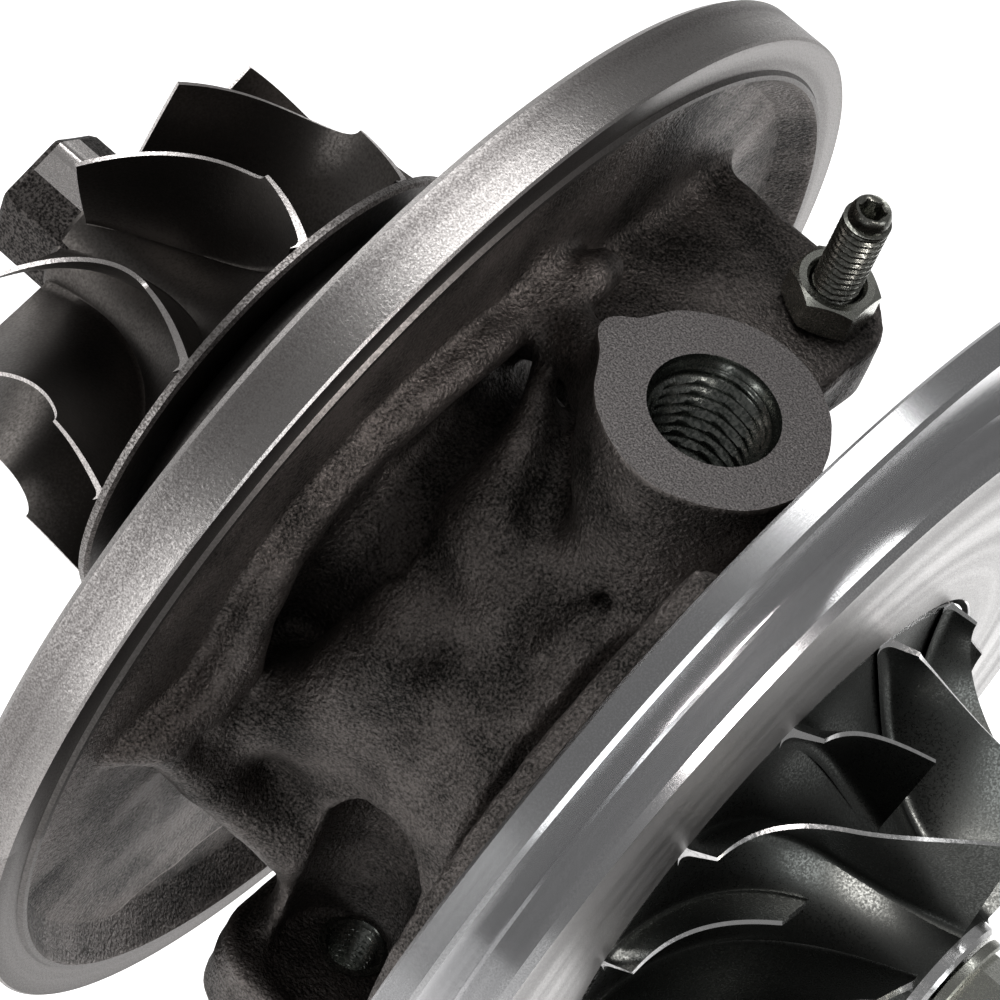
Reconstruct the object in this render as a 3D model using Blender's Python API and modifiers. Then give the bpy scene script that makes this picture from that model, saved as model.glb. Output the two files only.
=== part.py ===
"""Turbocharger cartridge (centre housing and rotating assembly) of a variable-vane diesel turbo.

Frame: +X runs along the shaft from the turbine to the compressor, +Z runs up through the oil inlet.
The origin is on the shaft axis, in the plane of the turbine flange's rear rim face.
Every size below is in millimetres, and MM turns it into Blender's metres.
"""

import math

import bmesh
import bpy
from mathutils import Matrix, Vector

MM = 0.001
CLEARANCE = 0.3
# How far a cutter runs past the face that it opens
OVERSHOOT = 1.0

# Facets on a full turn
LARGE_TURN = 48
WHEEL_TURN = 36
SMALL_TURN = 24
BOLT_TURN = 12

# Turbine flange of the housing
FLANGE_RADIUS = 60.0
FLANGE_WIDTH = 6.5
RIM_CHAMFER = 0.6
RIM_LAND = 4.0
WEB_THICKNESS = 3.8
RIDGE_OFFSET = 6.4
RIDGE_HALF_WIDTH = 2.4
RIDGE_HEIGHT = 5.0
RIDGE_SKIRT = 2.0
WEB_FILLET = 2.4

# Housing barrel, snout and compressor flange
BARREL_RADIUS = 25.0
BARREL_FRONT = 6.8
BARREL_SHOULDER = 2.5
NECK_DEPTH = 7.5
NECK_FILLET = 3.0
BARREL_REAR_FILLET = 10.0
BARREL_REAR_TAPER = 8.0
SNOUT_RADIUS = 23.0
SNOUT_LENGTH = 12.1
SNOUT_CHAMFER = 1.5
REAR_FLANGE_RADIUS = 50.6
REAR_FLANGE_THICKNESS = 3.9
REAR_FLANGE_CHAMFER = 1.0
REAR_FLANGE_GROOVE = 0.8

# Compressor backplate
BACKPLATE_START = 37.2
BACKPLATE_RADIUS = 63.9
BACKPLATE_RIM_WIDTH = 3.2
SPIGOT_RADIUS = 51.2
SPIGOT_WIDTH = 4.0
SPIGOT_CHAMFER = 0.9
PLATE_CHAMFER = 0.4
WHEEL_RECESS_DEPTH = 2.3
WHEEL_RECESS_GAP = 0.6
BOSS_LENGTH = 4.4
BOSS_GAP = 0.8

# Oil inlet boss
INLET_X = 20.8
INLET_HEIGHT = 41.0
INLET_BOSS_RADIUS = 11.2
INLET_FOOT_RADIUS = 14.0
INLET_THREAD_RADIUS = 5.35
INLET_MOUTH_RADIUS = 6.4
INLET_MOUTH_DEPTH = 1.1
INLET_THREAD_DEPTH = 15.0
INLET_DRILL_RADIUS = 1.8
INLET_FOOT_SINK = 8.0
INLET_FOOT_DROP = 10.0
INLET_WEB_HALF_WIDTH = 3.5
INLET_WEB_DROP = 5.0
INLET_WEB_ROUND = 1.5
INLET_LUG_START = 7.0
INLET_LUG_REACH = 13.0
INLET_LUG_ROOT_HALF_WIDTH = 4.0
INLET_LUG_TIP_HALF_WIDTH = 0.8
INLET_LUG_DROP = 0.3
INLET_LUG_THICKNESS = 7.7

# Gallery block and drain chimney
BLOCK_FRONT = 12.5
BLOCK_INSET = 1.2
BLOCK_TOP = 2.0
BLOCK_BOTTOM = -27.0
BLOCK_ROUND = 4.0
GUSSET_REACH = 34.0
GUSSET_FRONT = 4.0
GUSSET_TOP = 0.5
GUSSET_BOTTOM = -15.0
STRUT_RADIUS = 3.2
STRUT_WEB_POINT = (-1.0, 38.0, -3.0)
STRUT_BLOCK_POINT = (9.5, 21.0, -21.0)
SPUR_TIP_RADIUS = 2.0
SPUR_ROOT_RADIUS = 6.5
SPUR_TIP_POINT = (2.4, 1.7, 28.8)
SPUR_ROOT_POINT = (11.0, -10.2, 19.0)
CHIMNEY_X = 18.0
CHIMNEY_LENGTH = 27.0
CHIMNEY_WIDTH = 30.0
CHIMNEY_ROUND = 4.0
DRAIN_FACE_HEIGHT = -44.0
DRAIN_FLANGE_THICKNESS = 9.0
DRAIN_FLANGE_LENGTH = 22.0
DRAIN_FLANGE_WIDTH = 60.0
DRAIN_FLANGE_ROUND = 7.0
DRAIN_RADIUS = 7.5
DRAIN_TOP = -4.0
DRAIN_BOLT_SPACING = 36.0
DRAIN_THREAD_RADIUS = 2.6
DRAIN_RELIEF_RADIUS = 7.0
DRAIN_RELIEF_TOP = -6.0
DRAIN_RELIEF_OFFSET = 3.0
DRAIN_SPOT_FACE = 0.5

# Stop screw lug, screw and nut
LUG_X = 15.6
LUG_Y = 30.2
LUG_TOP = 27.5
LUG_THICKNESS = 8.5
LUG_END_RADIUS = 6.4
LUG_FOOT_Y = 10.2
LUG_FOOT_FLARE = 2.0
SCREW_RADIUS = 2.4
SCREW_LENGTH = 28.0
SCREW_ABOVE_NUT = 10.7
SCREW_CHAMFER = 0.5
SOCKET_ACROSS_FLATS = 2.5
SOCKET_DEPTH = 3.0
NUT_ACROSS_FLATS = 8.0
NUT_THICKNESS = 4.0

# Bores in the housing
BEARING_BORE_RADIUS = 7.5
SEAL_BORE_RADIUS = 8.5
SEAL_BORE_DEPTH = 6.0
COLLAR_BORE_RADIUS = 9.2
THRUST_POCKET_RADIUS = 20.0
THRUST_POCKET_FLOOR = 27.9
COLLAR_POCKET_FLOOR = 25.7

# Shaft
JOURNAL_RADIUS = 4.0
WAIST_RADIUS = 3.7
WAIST_TAPER = 0.5
STUB_RADIUS = 3.0
STUB_CHAMFER = 0.6
SHAFT_START = -12.7
STUB_START = 26.0
SHAFT_END = 76.0
WELD_SPIGOT_RADIUS = 2.5
WELD_SPIGOT_LENGTH = 3.6

# Floating journal bearings and their snap rings
BEARING_OUTER_RADIUS = BEARING_BORE_RADIUS - CLEARANCE
BEARING_INNER_RADIUS = JOURNAL_RADIUS + CLEARANCE
BEARING_LENGTH = 7.2
TURBINE_BEARING_START = -9.0
COMPRESSOR_BEARING_START = 17.6
BEARING_CHAMFER = 0.4
FEED_HOLE_RADIUS = 0.8
FEED_HOLE_ANGLES = (45, 135)
SNAP_RING_WIDTH = 1.0
SNAP_RING_INNER_RADIUS = 6.0
SNAP_RING_OUTER_RADIUS = 8.3
SNAP_RING_GAP = 3.0
SNAP_RING_PLAY = 0.5
SNAP_RING_STARTS = {
    "retaining_ring_outer_turbine": TURBINE_BEARING_START - SNAP_RING_PLAY - SNAP_RING_WIDTH,
    "retaining_ring_inner_turbine": TURBINE_BEARING_START + BEARING_LENGTH + SNAP_RING_PLAY,
    "retaining_ring_inner_compressor": COMPRESSOR_BEARING_START - SNAP_RING_PLAY - SNAP_RING_WIDTH,
}

# Thrust bearing, collar, deflector and flinger
THRUST_THICKNESS = 3.0
THRUST_RADIUS = 18.5
THRUST_HOLE_RADIUS = 6.0
THRUST_NOTCH_WIDTH = 9.0
THRUST_NOTCH_HEIGHT = 6.0
THRUST_PIN_RADIUS = 1.0
THRUST_PIN_CIRCLE = 14.5
THRUST_PIN_LENGTH = 4.8
THRUST_PIN_SINK = 0.4
COLLAR_RADIUS = 8.6
COLLAR_FLANGE = 1.6
COLLAR_NECK_RADIUS = 5.6
DEFLECTOR_THICKNESS = 1.0
DEFLECTOR_HOLE_RADIUS = 9.6
DEFLECTOR_SEAT = 0.8
FLINGER_FLANGE_RADIUS = 9.0
FLINGER_FLANGE = 1.5
FLINGER_RADIUS = 7.9

# Piston rings
SEAL_RING_WIDTH = 1.4
SEAL_RING_INNER_RADIUS = 6.7
SEAL_RING_OUTER_RADIUS = 8.2
SEAL_GROOVE_RADIUS = 6.3
SEAL_RING_GAP = 0.4
TURBINE_SEAL_START = -17.2
COMPRESSOR_SEAL_START = 36.5

# Backplate O-ring and screws
O_RING_RADIUS = 1.3
O_RING_X = 35.0
O_RING_FACETS = 8
PLATE_SCREW_COUNT = 4
PLATE_SCREW_ANGLE = 45
PLATE_SCREW_CIRCLE = 23.6
PLATE_SCREW_RADIUS = 2.0
PLATE_SCREW_HEAD_RADIUS = 3.6
PLATE_SCREW_LENGTH = 10.5
PLATE_SCREW_SOCKET_DEPTH = 1.6

# Heat shield
SHIELD_THICKNESS = 0.8
SHIELD_SEAT_DEPTH = 1.3
SHIELD_LIP_RADIUS = 30.0
SHIELD_HOLE_RADIUS = 9.2

# Turbine wheel
TURBINE_BLADES = 10
TURBINE_DISC_RADIUS = 26.6
TURBINE_TIP_RADIUS = 26.0
TURBINE_BACK = -20.4
TURBINE_DISC_THICKNESS = 1.0
TURBINE_DISC_CHAMFER = 0.5
TURBINE_BLADE_SINK = 1.2
TURBINE_INLET_WIDTH = 7.8
TURBINE_EXIT_RADIUS = 22.7
TURBINE_EXIT_X = -43.8
TURBINE_HUB_END_RADIUS = 7.4
TURBINE_HUB_END = -45.2
TURBINE_SHANK_RADIUS = 7.9
TURBINE_BLADE_THICKNESS = 1.1
TURBINE_TIP_ANGLE = 92.4
TURBINE_CAMBER_LOW = -31.0
TURBINE_INLET_CURVE = 0.076
TURBINE_EXIT_CURVE = 0.156
TURBINE_HEAD_RADIUS = 7.6
TURBINE_HEAD_LENGTH = 8.0

# Compressor wheel
COMPRESSOR_PAIRS = 6
COMPRESSOR_RADIUS = 27.7
COMPRESSOR_RIM_X = 44.1
COMPRESSOR_DISC_THICKNESS = 1.4
COMPRESSOR_TIP_HEIGHT = 3.0
COMPRESSOR_EYE_RADIUS = 19.8
COMPRESSOR_EYE_X = 65.2
COMPRESSOR_NOSE_RADIUS = 6.8
COMPRESSOR_NOSE_X = 67.0
COMPRESSOR_NOSE_LAND = 1.5
COMPRESSOR_NOSE_CHAMFER = 0.5
COMPRESSOR_BLADE_SINK = 0.7
COMPRESSOR_HUB_BACK = 41.7
COMPRESSOR_HUB_BACK_RADIUS = 8.0
COMPRESSOR_TIP_ANGLE = 78.3
COMPRESSOR_RAKE = 3.6
COMPRESSOR_WRAP = 40.3
COMPRESSOR_EYE_WRAP = 85.4
COMPRESSOR_EYE_START = 0.59
COMPRESSOR_BLADE_THICKNESS = 0.9
COMPRESSOR_EDGE_POWER = 2.3
SPLITTER_SHARE = 0.62

# Shaft nut
SHAFT_NUT_FLANGE_RADIUS = 6.2
SHAFT_NUT_FLANGE = 1.2
SHAFT_NUT_ACROSS_FLATS = 9.0
SHAFT_NUT_LENGTH = 6.4

# Places that follow from the sizes above
REAR_FACE = BACKPLATE_START - CLEARANCE
SNOUT_END = -FLANGE_WIDTH - SNOUT_LENGTH
WEB_FACE = -FLANGE_WIDTH + WEB_THICKNESS
WEB_MIDDLE = -FLANGE_WIDTH + WEB_THICKNESS / 2
DRAIN_FLANGE_TOP = DRAIN_FACE_HEIGHT + DRAIN_FLANGE_THICKNESS
SHIELD_SEAT = -FLANGE_WIDTH + SHIELD_SEAT_DEPTH
RIDGE_RADIUS = BARREL_RADIUS + RIDGE_OFFSET
BLOCK_HALF_WIDTH = BARREL_RADIUS - BLOCK_INSET
PLATE_STEP = BACKPLATE_START + BACKPLATE_RIM_WIDTH
PLATE_FRONT = PLATE_STEP + SPIGOT_WIDTH
RECESS_FLOOR = PLATE_FRONT - WHEEL_RECESS_DEPTH
RECESS_RADIUS = COMPRESSOR_RADIUS + WHEEL_RECESS_GAP
BOSS_START = BACKPLATE_START - BOSS_LENGTH
BOSS_RADIUS = THRUST_POCKET_RADIUS - BOSS_GAP
THRUST_START = THRUST_POCKET_FLOOR + CLEARANCE
THRUST_END = THRUST_START + THRUST_THICKNESS
THRUST_PIN_END = THRUST_END - THRUST_PIN_SINK
THRUST_PIN_START = THRUST_PIN_END - THRUST_PIN_LENGTH
COLLAR_START = STUB_START + CLEARANCE
FLINGER_START = THRUST_END + CLEARANCE
STUB_BORE_RADIUS = STUB_RADIUS + CLEARANCE
FLINGER_END = COMPRESSOR_HUB_BACK - CLEARANCE
PLATE_SCREW_END = RECESS_FLOOR - CLEARANCE
PLATE_SCREW_HEAD_DEPTH = PLATE_SCREW_HEAD_RADIUS - PLATE_SCREW_RADIUS
LUG_SCREW_RADIUS = SCREW_RADIUS + CLEARANCE
NUT_START = LUG_TOP + CLEARANCE
WELD_SPIGOT_END = SHAFT_START - WELD_SPIGOT_LENGTH
TURBINE_DISC_FRONT = TURBINE_BACK - TURBINE_DISC_THICKNESS
COMPRESSOR_NOSE_START = COMPRESSOR_NOSE_X - COMPRESSOR_NOSE_LAND

parts = None
helpers = None


def clear_scene():
    for obj in list(bpy.data.objects):
        bpy.data.objects.remove(obj)


def new_collection(name):
    collection = bpy.data.collections.new(name)
    bpy.context.scene.collection.children.link(collection)
    return collection


def finish(name, colour, metallic, roughness):
    """A plain Principled material, shared by the pieces of one metal."""
    if name in bpy.data.materials:
        return bpy.data.materials[name]
    material = bpy.data.materials.new(name)
    material.use_nodes = True
    shader = material.node_tree.nodes["Principled BSDF"]
    shader.inputs["Base Color"].default_value = (*colour, 1.0)
    shader.inputs["Metallic"].default_value = metallic
    shader.inputs["Roughness"].default_value = roughness
    return material


def cast_iron():
    return finish("cast_iron", (0.11, 0.10, 0.10), 0.6, 0.6)


def aluminium():
    return finish("machined_aluminium", (0.66, 0.66, 0.67), 1.0, 0.3)


def turbine_alloy():
    return finish("turbine_alloy", (0.20, 0.18, 0.17), 0.9, 0.45)


def wheel_aluminium():
    return finish("wheel_aluminium", (0.30, 0.30, 0.30), 1.0, 0.35)


def bright_steel():
    return finish("bright_steel", (0.42, 0.41, 0.39), 1.0, 0.3)


def spring_steel():
    return finish("spring_steel", (0.25, 0.25, 0.26), 1.0, 0.35)


def bronze():
    return finish("bearing_bronze", (0.60, 0.42, 0.20), 1.0, 0.35)


def rubber():
    return finish("black_rubber", (0.02, 0.02, 0.02), 0.0, 0.7)


def place(obj, material=None):
    """A piece goes to the parts; anything without a material is a helper that only cuts or joins."""
    if material is None:
        helpers.objects.link(obj)
        obj.hide_render = True
        obj.display_type = "WIRE"
        return obj
    parts.objects.link(obj)
    obj.data.materials.append(material)
    return obj


def object_from(bm, name, material=None):
    bmesh.ops.recalc_face_normals(bm, faces=bm.faces)
    mesh = bpy.data.meshes.new(name)
    bm.to_mesh(mesh)
    bm.free()
    return place(bpy.data.objects.new(name, mesh), material)


def outline_area(outline):
    pairs = zip(outline, outline[1:] + outline[:1])
    return sum(x0 * r1 - x1 * r0 for (x0, r0), (x1, r1) in pairs) / 2


def turned(name, outline, turn, material=None):
    """A piece turned about the X axis from (x, radius) points, closed on itself or on the axis."""
    if outline_area(outline) < 0:
        outline = outline[::-1]
    on_axis = outline[0][1] == 0 or outline[-1][1] == 0
    mesh = bpy.data.meshes.new(name)
    count = len(outline)
    edges = [(i, i + 1) for i in range(count - 1)]
    if not on_axis:
        edges.append((count - 1, 0))
    mesh.from_pydata([(x * MM, r * MM, 0) for x, r in outline], edges, [])
    obj = place(bpy.data.objects.new(name, mesh), material)
    screw = obj.modifiers.new("turn", "SCREW")
    screw.axis = "X"
    screw.steps = turn
    screw.render_steps = turn
    screw.use_merge_vertices = True
    screw.merge_threshold = 0.00001
    return obj


def upright_cutter(name, centre, outline, turn):
    """A cutter turned about the Z line through centre (x, y), from (height, radius) points going up."""
    mesh = bpy.data.meshes.new(name)
    points = [(radius * MM, 0, height * MM) for height, radius in outline[::-1]]
    mesh.from_pydata(points, [(i, i + 1) for i in range(len(points) - 1)], [])
    obj = place(bpy.data.objects.new(name, mesh))
    obj.location = (centre[0] * MM, centre[1] * MM, 0)
    screw = obj.modifiers.new("turn", "SCREW")
    screw.steps = turn
    screw.render_steps = turn
    screw.use_merge_vertices = True
    screw.merge_threshold = 0.00001
    return obj


def ring(name, start, end, inner, outer, turn, material=None):
    return turned(name, [(start, inner), (start, outer), (end, outer), (end, inner)], turn, material)


def solid_bar(name, start, end, radius, turn, material=None, end_radius=None):
    """A cylinder between two points given in millimetres, or a cone where its end's radius differs."""
    start, end = Vector(start), Vector(end)
    bm = bmesh.new()
    along = (end - start).to_track_quat("Z", "Y").to_matrix().to_4x4()
    middle = Matrix.Translation((start + end) / 2 * MM) @ along
    bmesh.ops.create_cone(
        bm, cap_ends=True, segments=turn, radius1=radius * MM, radius2=(end_radius or radius) * MM,
        depth=(end - start).length * MM, matrix=middle,
    )
    return object_from(bm, name, material)


def cone(name, centre, low, high, low_radius, high_radius, turn):
    """An upright cone about the Z line through centre (x, y)."""
    bm = bmesh.new()
    middle = Matrix.Translation(Vector((*centre, (low + high) / 2)) * MM)
    bmesh.ops.create_cone(
        bm, cap_ends=True, segments=turn, radius1=low_radius * MM, radius2=high_radius * MM,
        depth=(high - low) * MM, matrix=middle,
    )
    return object_from(bm, name)


def block(name, low, high, round_radius=0.0):
    """A box helper whose edges may be rounded."""
    low, high = Vector(low), Vector(high)
    bm = bmesh.new()
    size = Matrix.Diagonal((*((high - low) * MM), 1.0))
    bmesh.ops.create_cube(bm, size=1.0, matrix=Matrix.Translation((low + high) / 2 * MM) @ size)
    if round_radius:
        bmesh.ops.bevel(
            bm, geom=bm.edges[:], offset=round_radius * MM, segments=2, profile=0.5, affect="EDGES",
        )
    return object_from(bm, name)


def plate(name, outline, bottom, top):
    """A flat outline of (x, y) points, given a thickness along Z."""
    bm = bmesh.new()
    face = bm.faces.new([bm.verts.new((x * MM, y * MM, bottom * MM)) for x, y in outline])
    raised = bmesh.ops.extrude_face_region(bm, geom=[face])["geom"]
    lift = Vector((0, 0, (top - bottom) * MM))
    bmesh.ops.translate(bm, verts=[v for v in raised if isinstance(v, bmesh.types.BMVert)], vec=lift)
    return object_from(bm, name)


def rounded_rectangle(centre, length, width, radius, steps=5):
    points = []
    for corner in range(4):
        x = centre[0] + (length / 2 - radius) * (1 if corner in (0, 3) else -1)
        y = centre[1] + (width / 2 - radius) * (1 if corner in (0, 1) else -1)
        for step in range(steps + 1):
            angle = math.radians(90 * corner + 90 * step / steps)
            points.append((x + radius * math.cos(angle), y + radius * math.sin(angle)))
    return points


def hexagon_radius(across_flats):
    return across_flats / math.sqrt(3)


def join(target, *others):
    for other in others:
        modifier = target.modifiers.new("join " + other.name, "BOOLEAN")
        modifier.operation = "UNION"
        modifier.object = other


def cut(target, *others):
    for other in others:
        modifier = target.modifiers.new("cut " + other.name, "BOOLEAN")
        modifier.operation = "DIFFERENCE"
        modifier.object = other


def on_circle(radius, degrees):
    """The (y, z) of a point on a circle about the shaft."""
    angle = math.radians(degrees)
    return radius * math.cos(angle), radius * math.sin(angle)


def quarter(start, end, count, power=2.0):
    """Points of a quarter superellipse that leaves start along the radius and reaches end along X."""
    (x0, r0), (x1, r1) = start, end
    points = []
    for i in range(count + 1):
        angle = math.pi / 2 * i / count
        points.append(
            (
                x1 - (x1 - x0) * math.cos(angle) ** (2 / power),
                r0 - (r0 - r1) * math.sin(angle) ** (2 / power),
            )
        )
    return points


def housing_outline():
    """The casting's turned body, from the turbine side's snout to the flange behind the backplate."""
    land = FLANGE_RADIUS - RIM_LAND
    flange_back = REAR_FACE - REAR_FLANGE_THICKNESS
    groove = REAR_FACE - REAR_FLANGE_THICKNESS / 2
    rim = [
        (SNOUT_END, 0),
        (SNOUT_END, SNOUT_RADIUS - SNOUT_CHAMFER),
        (SNOUT_END + SNOUT_CHAMFER, SNOUT_RADIUS),
        (SHIELD_SEAT, SNOUT_RADIUS),
        (SHIELD_SEAT, SHIELD_LIP_RADIUS + CLEARANCE),
        (-FLANGE_WIDTH, SHIELD_LIP_RADIUS + CLEARANCE),
        (-FLANGE_WIDTH, FLANGE_RADIUS - RIM_CHAMFER),
        (-FLANGE_WIDTH + RIM_CHAMFER, FLANGE_RADIUS),
        (-RIM_CHAMFER / 2, FLANGE_RADIUS),
        (0, FLANGE_RADIUS - RIM_CHAMFER / 2),
        (0, land),
        (-RIM_CHAMFER, land - RIM_CHAMFER),
        (WEB_FACE + RIM_CHAMFER, land - RIM_CHAMFER * 2),
        (WEB_FACE, land - RIM_CHAMFER * 2 - WEB_FILLET),
    ]
    shoulder = WEB_FACE + RIDGE_HEIGHT * 0.7
    ridge = [
        (WEB_FACE, RIDGE_RADIUS + RIDGE_HALF_WIDTH + RIDGE_SKIRT),
        (shoulder, RIDGE_RADIUS + RIDGE_HALF_WIDTH),
        (WEB_FACE + RIDGE_HEIGHT, RIDGE_RADIUS),
        (shoulder, RIDGE_RADIUS - RIDGE_HALF_WIDTH),
    ]
    neck_radius = BARREL_RADIUS - NECK_DEPTH
    neck = quarter((WEB_FACE, neck_radius + NECK_FILLET), (WEB_FACE + NECK_FILLET, neck_radius), 2)
    neck += [
        (BARREL_FRONT - BARREL_SHOULDER, neck_radius),
        (BARREL_FRONT, BARREL_RADIUS - BARREL_SHOULDER),
        (BARREL_FRONT + BARREL_SHOULDER, BARREL_RADIUS),
    ]
    rear_fillet = quarter(
        (flange_back, BARREL_RADIUS + BARREL_REAR_FILLET), (flange_back - BARREL_REAR_TAPER, BARREL_RADIUS), 3,
    )
    rear_flange = [
        (flange_back, REAR_FLANGE_RADIUS - REAR_FLANGE_CHAMFER),
        (flange_back + REAR_FLANGE_CHAMFER, REAR_FLANGE_RADIUS),
        (groove - REAR_FLANGE_GROOVE, REAR_FLANGE_RADIUS),
        (groove, REAR_FLANGE_RADIUS - REAR_FLANGE_GROOVE),
        (groove + REAR_FLANGE_GROOVE, REAR_FLANGE_RADIUS),
        (REAR_FACE, REAR_FLANGE_RADIUS),
        (REAR_FACE, 0),
    ]
    return rim + ridge + neck + rear_fillet[::-1] + rear_flange


def housing_bore():
    """The stepped hole for the bearings, with a groove for each snap ring, as one turned cutter."""
    seal_end = SNOUT_END + SEAL_BORE_DEPTH
    groove_radius = SNAP_RING_OUTER_RADIUS + CLEARANCE
    outline = [
        (SNOUT_END - OVERSHOOT, 0),
        (SNOUT_END - OVERSHOOT, SEAL_BORE_RADIUS),
        (seal_end, SEAL_BORE_RADIUS),
        (seal_end, BEARING_BORE_RADIUS),
    ]
    for start in SNAP_RING_STARTS.values():
        first, last = start - CLEARANCE, start + SNAP_RING_WIDTH + CLEARANCE
        outline += [
            (first, BEARING_BORE_RADIUS),
            (first, groove_radius),
            (last, groove_radius),
            (last, BEARING_BORE_RADIUS),
        ]
    outline += [
        (COLLAR_POCKET_FLOOR, BEARING_BORE_RADIUS),
        (COLLAR_POCKET_FLOOR, COLLAR_BORE_RADIUS),
        (THRUST_POCKET_FLOOR, COLLAR_BORE_RADIUS),
        (THRUST_POCKET_FLOOR, THRUST_POCKET_RADIUS),
        (REAR_FACE + OVERSHOOT, THRUST_POCKET_RADIUS),
        (REAR_FACE + OVERSHOOT, 0),
    ]
    return turned("bore cutter", outline, WHEEL_TURN)


def inlet_bore():
    """The oil inlet: a countersunk mouth, the tapping bore and a small drilling down to the bearings."""
    thread_end = INLET_HEIGHT - INLET_THREAD_DEPTH
    flare = (INLET_MOUTH_RADIUS - INLET_THREAD_RADIUS) / INLET_MOUTH_DEPTH * OVERSHOOT
    return upright_cutter(
        "inlet bore cutter",
        (INLET_X, 0),
        [
            (0, 0),
            (0, INLET_DRILL_RADIUS),
            (thread_end - INLET_THREAD_RADIUS / 2, INLET_DRILL_RADIUS),
            (thread_end, INLET_THREAD_RADIUS),
            (INLET_HEIGHT - INLET_MOUTH_DEPTH, INLET_THREAD_RADIUS),
            (INLET_HEIGHT + OVERSHOOT, INLET_MOUTH_RADIUS + flare),
            (INLET_HEIGHT + OVERSHOOT, 0),
        ],
        SMALL_TURN,
    )


def lug_outline():
    """The stop screw's lug: a shelf from the flange web with a rounded free corner round the screw."""
    points = [(WEB_MIDDLE, LUG_FOOT_Y), (WEB_MIDDLE, LUG_Y + LUG_END_RADIUS + LUG_FOOT_FLARE)]
    points.append((LUG_X - LUG_END_RADIUS, LUG_Y + LUG_END_RADIUS))
    for step in range(6):
        angle = math.radians(90 - 90 * step / 5)
        points.append((LUG_X + LUG_END_RADIUS * math.cos(angle), LUG_Y + LUG_END_RADIUS * math.sin(angle)))
    points.append((LUG_X + LUG_END_RADIUS + LUG_FOOT_FLARE, LUG_FOOT_Y))
    return points


def inlet_boss():
    """The oil inlet's boss, the web that ties it to the flange and the small lug at the parting line."""
    lug_root = INLET_X - INLET_LUG_START
    lug_tip = INLET_X - INLET_LUG_REACH
    lug_top = INLET_HEIGHT - INLET_LUG_DROP
    return (
        cone(
            "inlet foot", (INLET_X, 0), BARREL_RADIUS - INLET_FOOT_SINK, INLET_HEIGHT - INLET_FOOT_DROP,
            INLET_FOOT_RADIUS, INLET_BOSS_RADIUS - CLEARANCE, SMALL_TURN,
        ),
        solid_bar(
            "inlet boss", (INLET_X, 0, BARREL_RADIUS - INLET_FOOT_SINK / 2), (INLET_X, 0, INLET_HEIGHT),
            INLET_BOSS_RADIUS, SMALL_TURN,
        ),
        block(
            "inlet web", (WEB_MIDDLE, -INLET_WEB_HALF_WIDTH, 0),
            (INLET_X, INLET_WEB_HALF_WIDTH, INLET_HEIGHT - INLET_WEB_DROP), INLET_WEB_ROUND,
        ),
        plate(
            "inlet flash lug",
            [
                (lug_root, -INLET_LUG_ROOT_HALF_WIDTH),
                (lug_root, INLET_LUG_ROOT_HALF_WIDTH),
                (lug_tip, INLET_LUG_TIP_HALF_WIDTH),
                (lug_tip, -INLET_LUG_TIP_HALF_WIDTH),
            ],
            lug_top - INLET_LUG_THICKNESS, lug_top,
        ),
    )


def bearing_housing():
    """The grey iron casting that carries everything else."""
    housing = turned("bearing_housing", housing_outline(), LARGE_TURN, cast_iron())
    join(
        housing,
        block(
            "gallery block", (WEB_MIDDLE, -BLOCK_HALF_WIDTH, BLOCK_BOTTOM),
            (BLOCK_FRONT, BLOCK_HALF_WIDTH, BLOCK_TOP), BLOCK_ROUND,
        ),
        block(
            "drain chimney",
            (CHIMNEY_X - CHIMNEY_LENGTH / 2, -CHIMNEY_WIDTH / 2, DRAIN_FACE_HEIGHT + DRAIN_FLANGE_THICKNESS / 2),
            (CHIMNEY_X + CHIMNEY_LENGTH / 2, CHIMNEY_WIDTH / 2, 0), CHIMNEY_ROUND,
        ),
        plate(
            "drain flange",
            rounded_rectangle(
                (CHIMNEY_X, 0), DRAIN_FLANGE_LENGTH, DRAIN_FLANGE_WIDTH, DRAIN_FLANGE_ROUND,
            ),
            DRAIN_FACE_HEIGHT, DRAIN_FLANGE_TOP,
        ),
        *inlet_boss(),
        plate("screw lug", lug_outline(), LUG_TOP - LUG_THICKNESS, LUG_TOP),
        solid_bar("oil gallery", SPUR_TIP_POINT, SPUR_ROOT_POINT, SPUR_TIP_RADIUS, BOLT_TURN, None, SPUR_ROOT_RADIUS),
        *(piece for side in (-1, 1) for piece in (gusset(side), strut(side))),
    )
    cut(
        housing,
        housing_bore(),
        solid_bar(
            "drain cutter", (CHIMNEY_X, 0, DRAIN_FACE_HEIGHT - OVERSHOOT), (CHIMNEY_X, 0, DRAIN_TOP),
            DRAIN_RADIUS, SMALL_TURN,
        ),
        inlet_bore(),
        solid_bar(
            "screw cutter", (LUG_X, LUG_Y, LUG_TOP - LUG_THICKNESS - OVERSHOOT),
            (LUG_X, LUG_Y, LUG_TOP + OVERSHOOT), LUG_SCREW_RADIUS, BOLT_TURN,
        ),
    )
    for side in (-1, 1):
        thread = side * DRAIN_BOLT_SPACING / 2
        relief = thread + side * DRAIN_RELIEF_OFFSET
        cut(
            housing,
            solid_bar(
                f"drain relief {side}", (CHIMNEY_X, relief, DRAIN_FLANGE_TOP - DRAIN_SPOT_FACE),
                (CHIMNEY_X, relief, DRAIN_RELIEF_TOP), DRAIN_RELIEF_RADIUS, SMALL_TURN,
            ),
            solid_bar(
                f"drain thread {side}", (CHIMNEY_X, thread, DRAIN_FACE_HEIGHT - OVERSHOOT),
                (CHIMNEY_X, thread, DRAIN_FLANGE_TOP + OVERSHOOT), DRAIN_THREAD_RADIUS, BOLT_TURN,
            ),
            thrust_pin_hole(f"pin hole {side}", side),
        )
    for index in range(PLATE_SCREW_COUNT):
        cut(housing, plate_screw_bar(f"plate screw hole {index}", index, CLEARANCE))
    return housing


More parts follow.
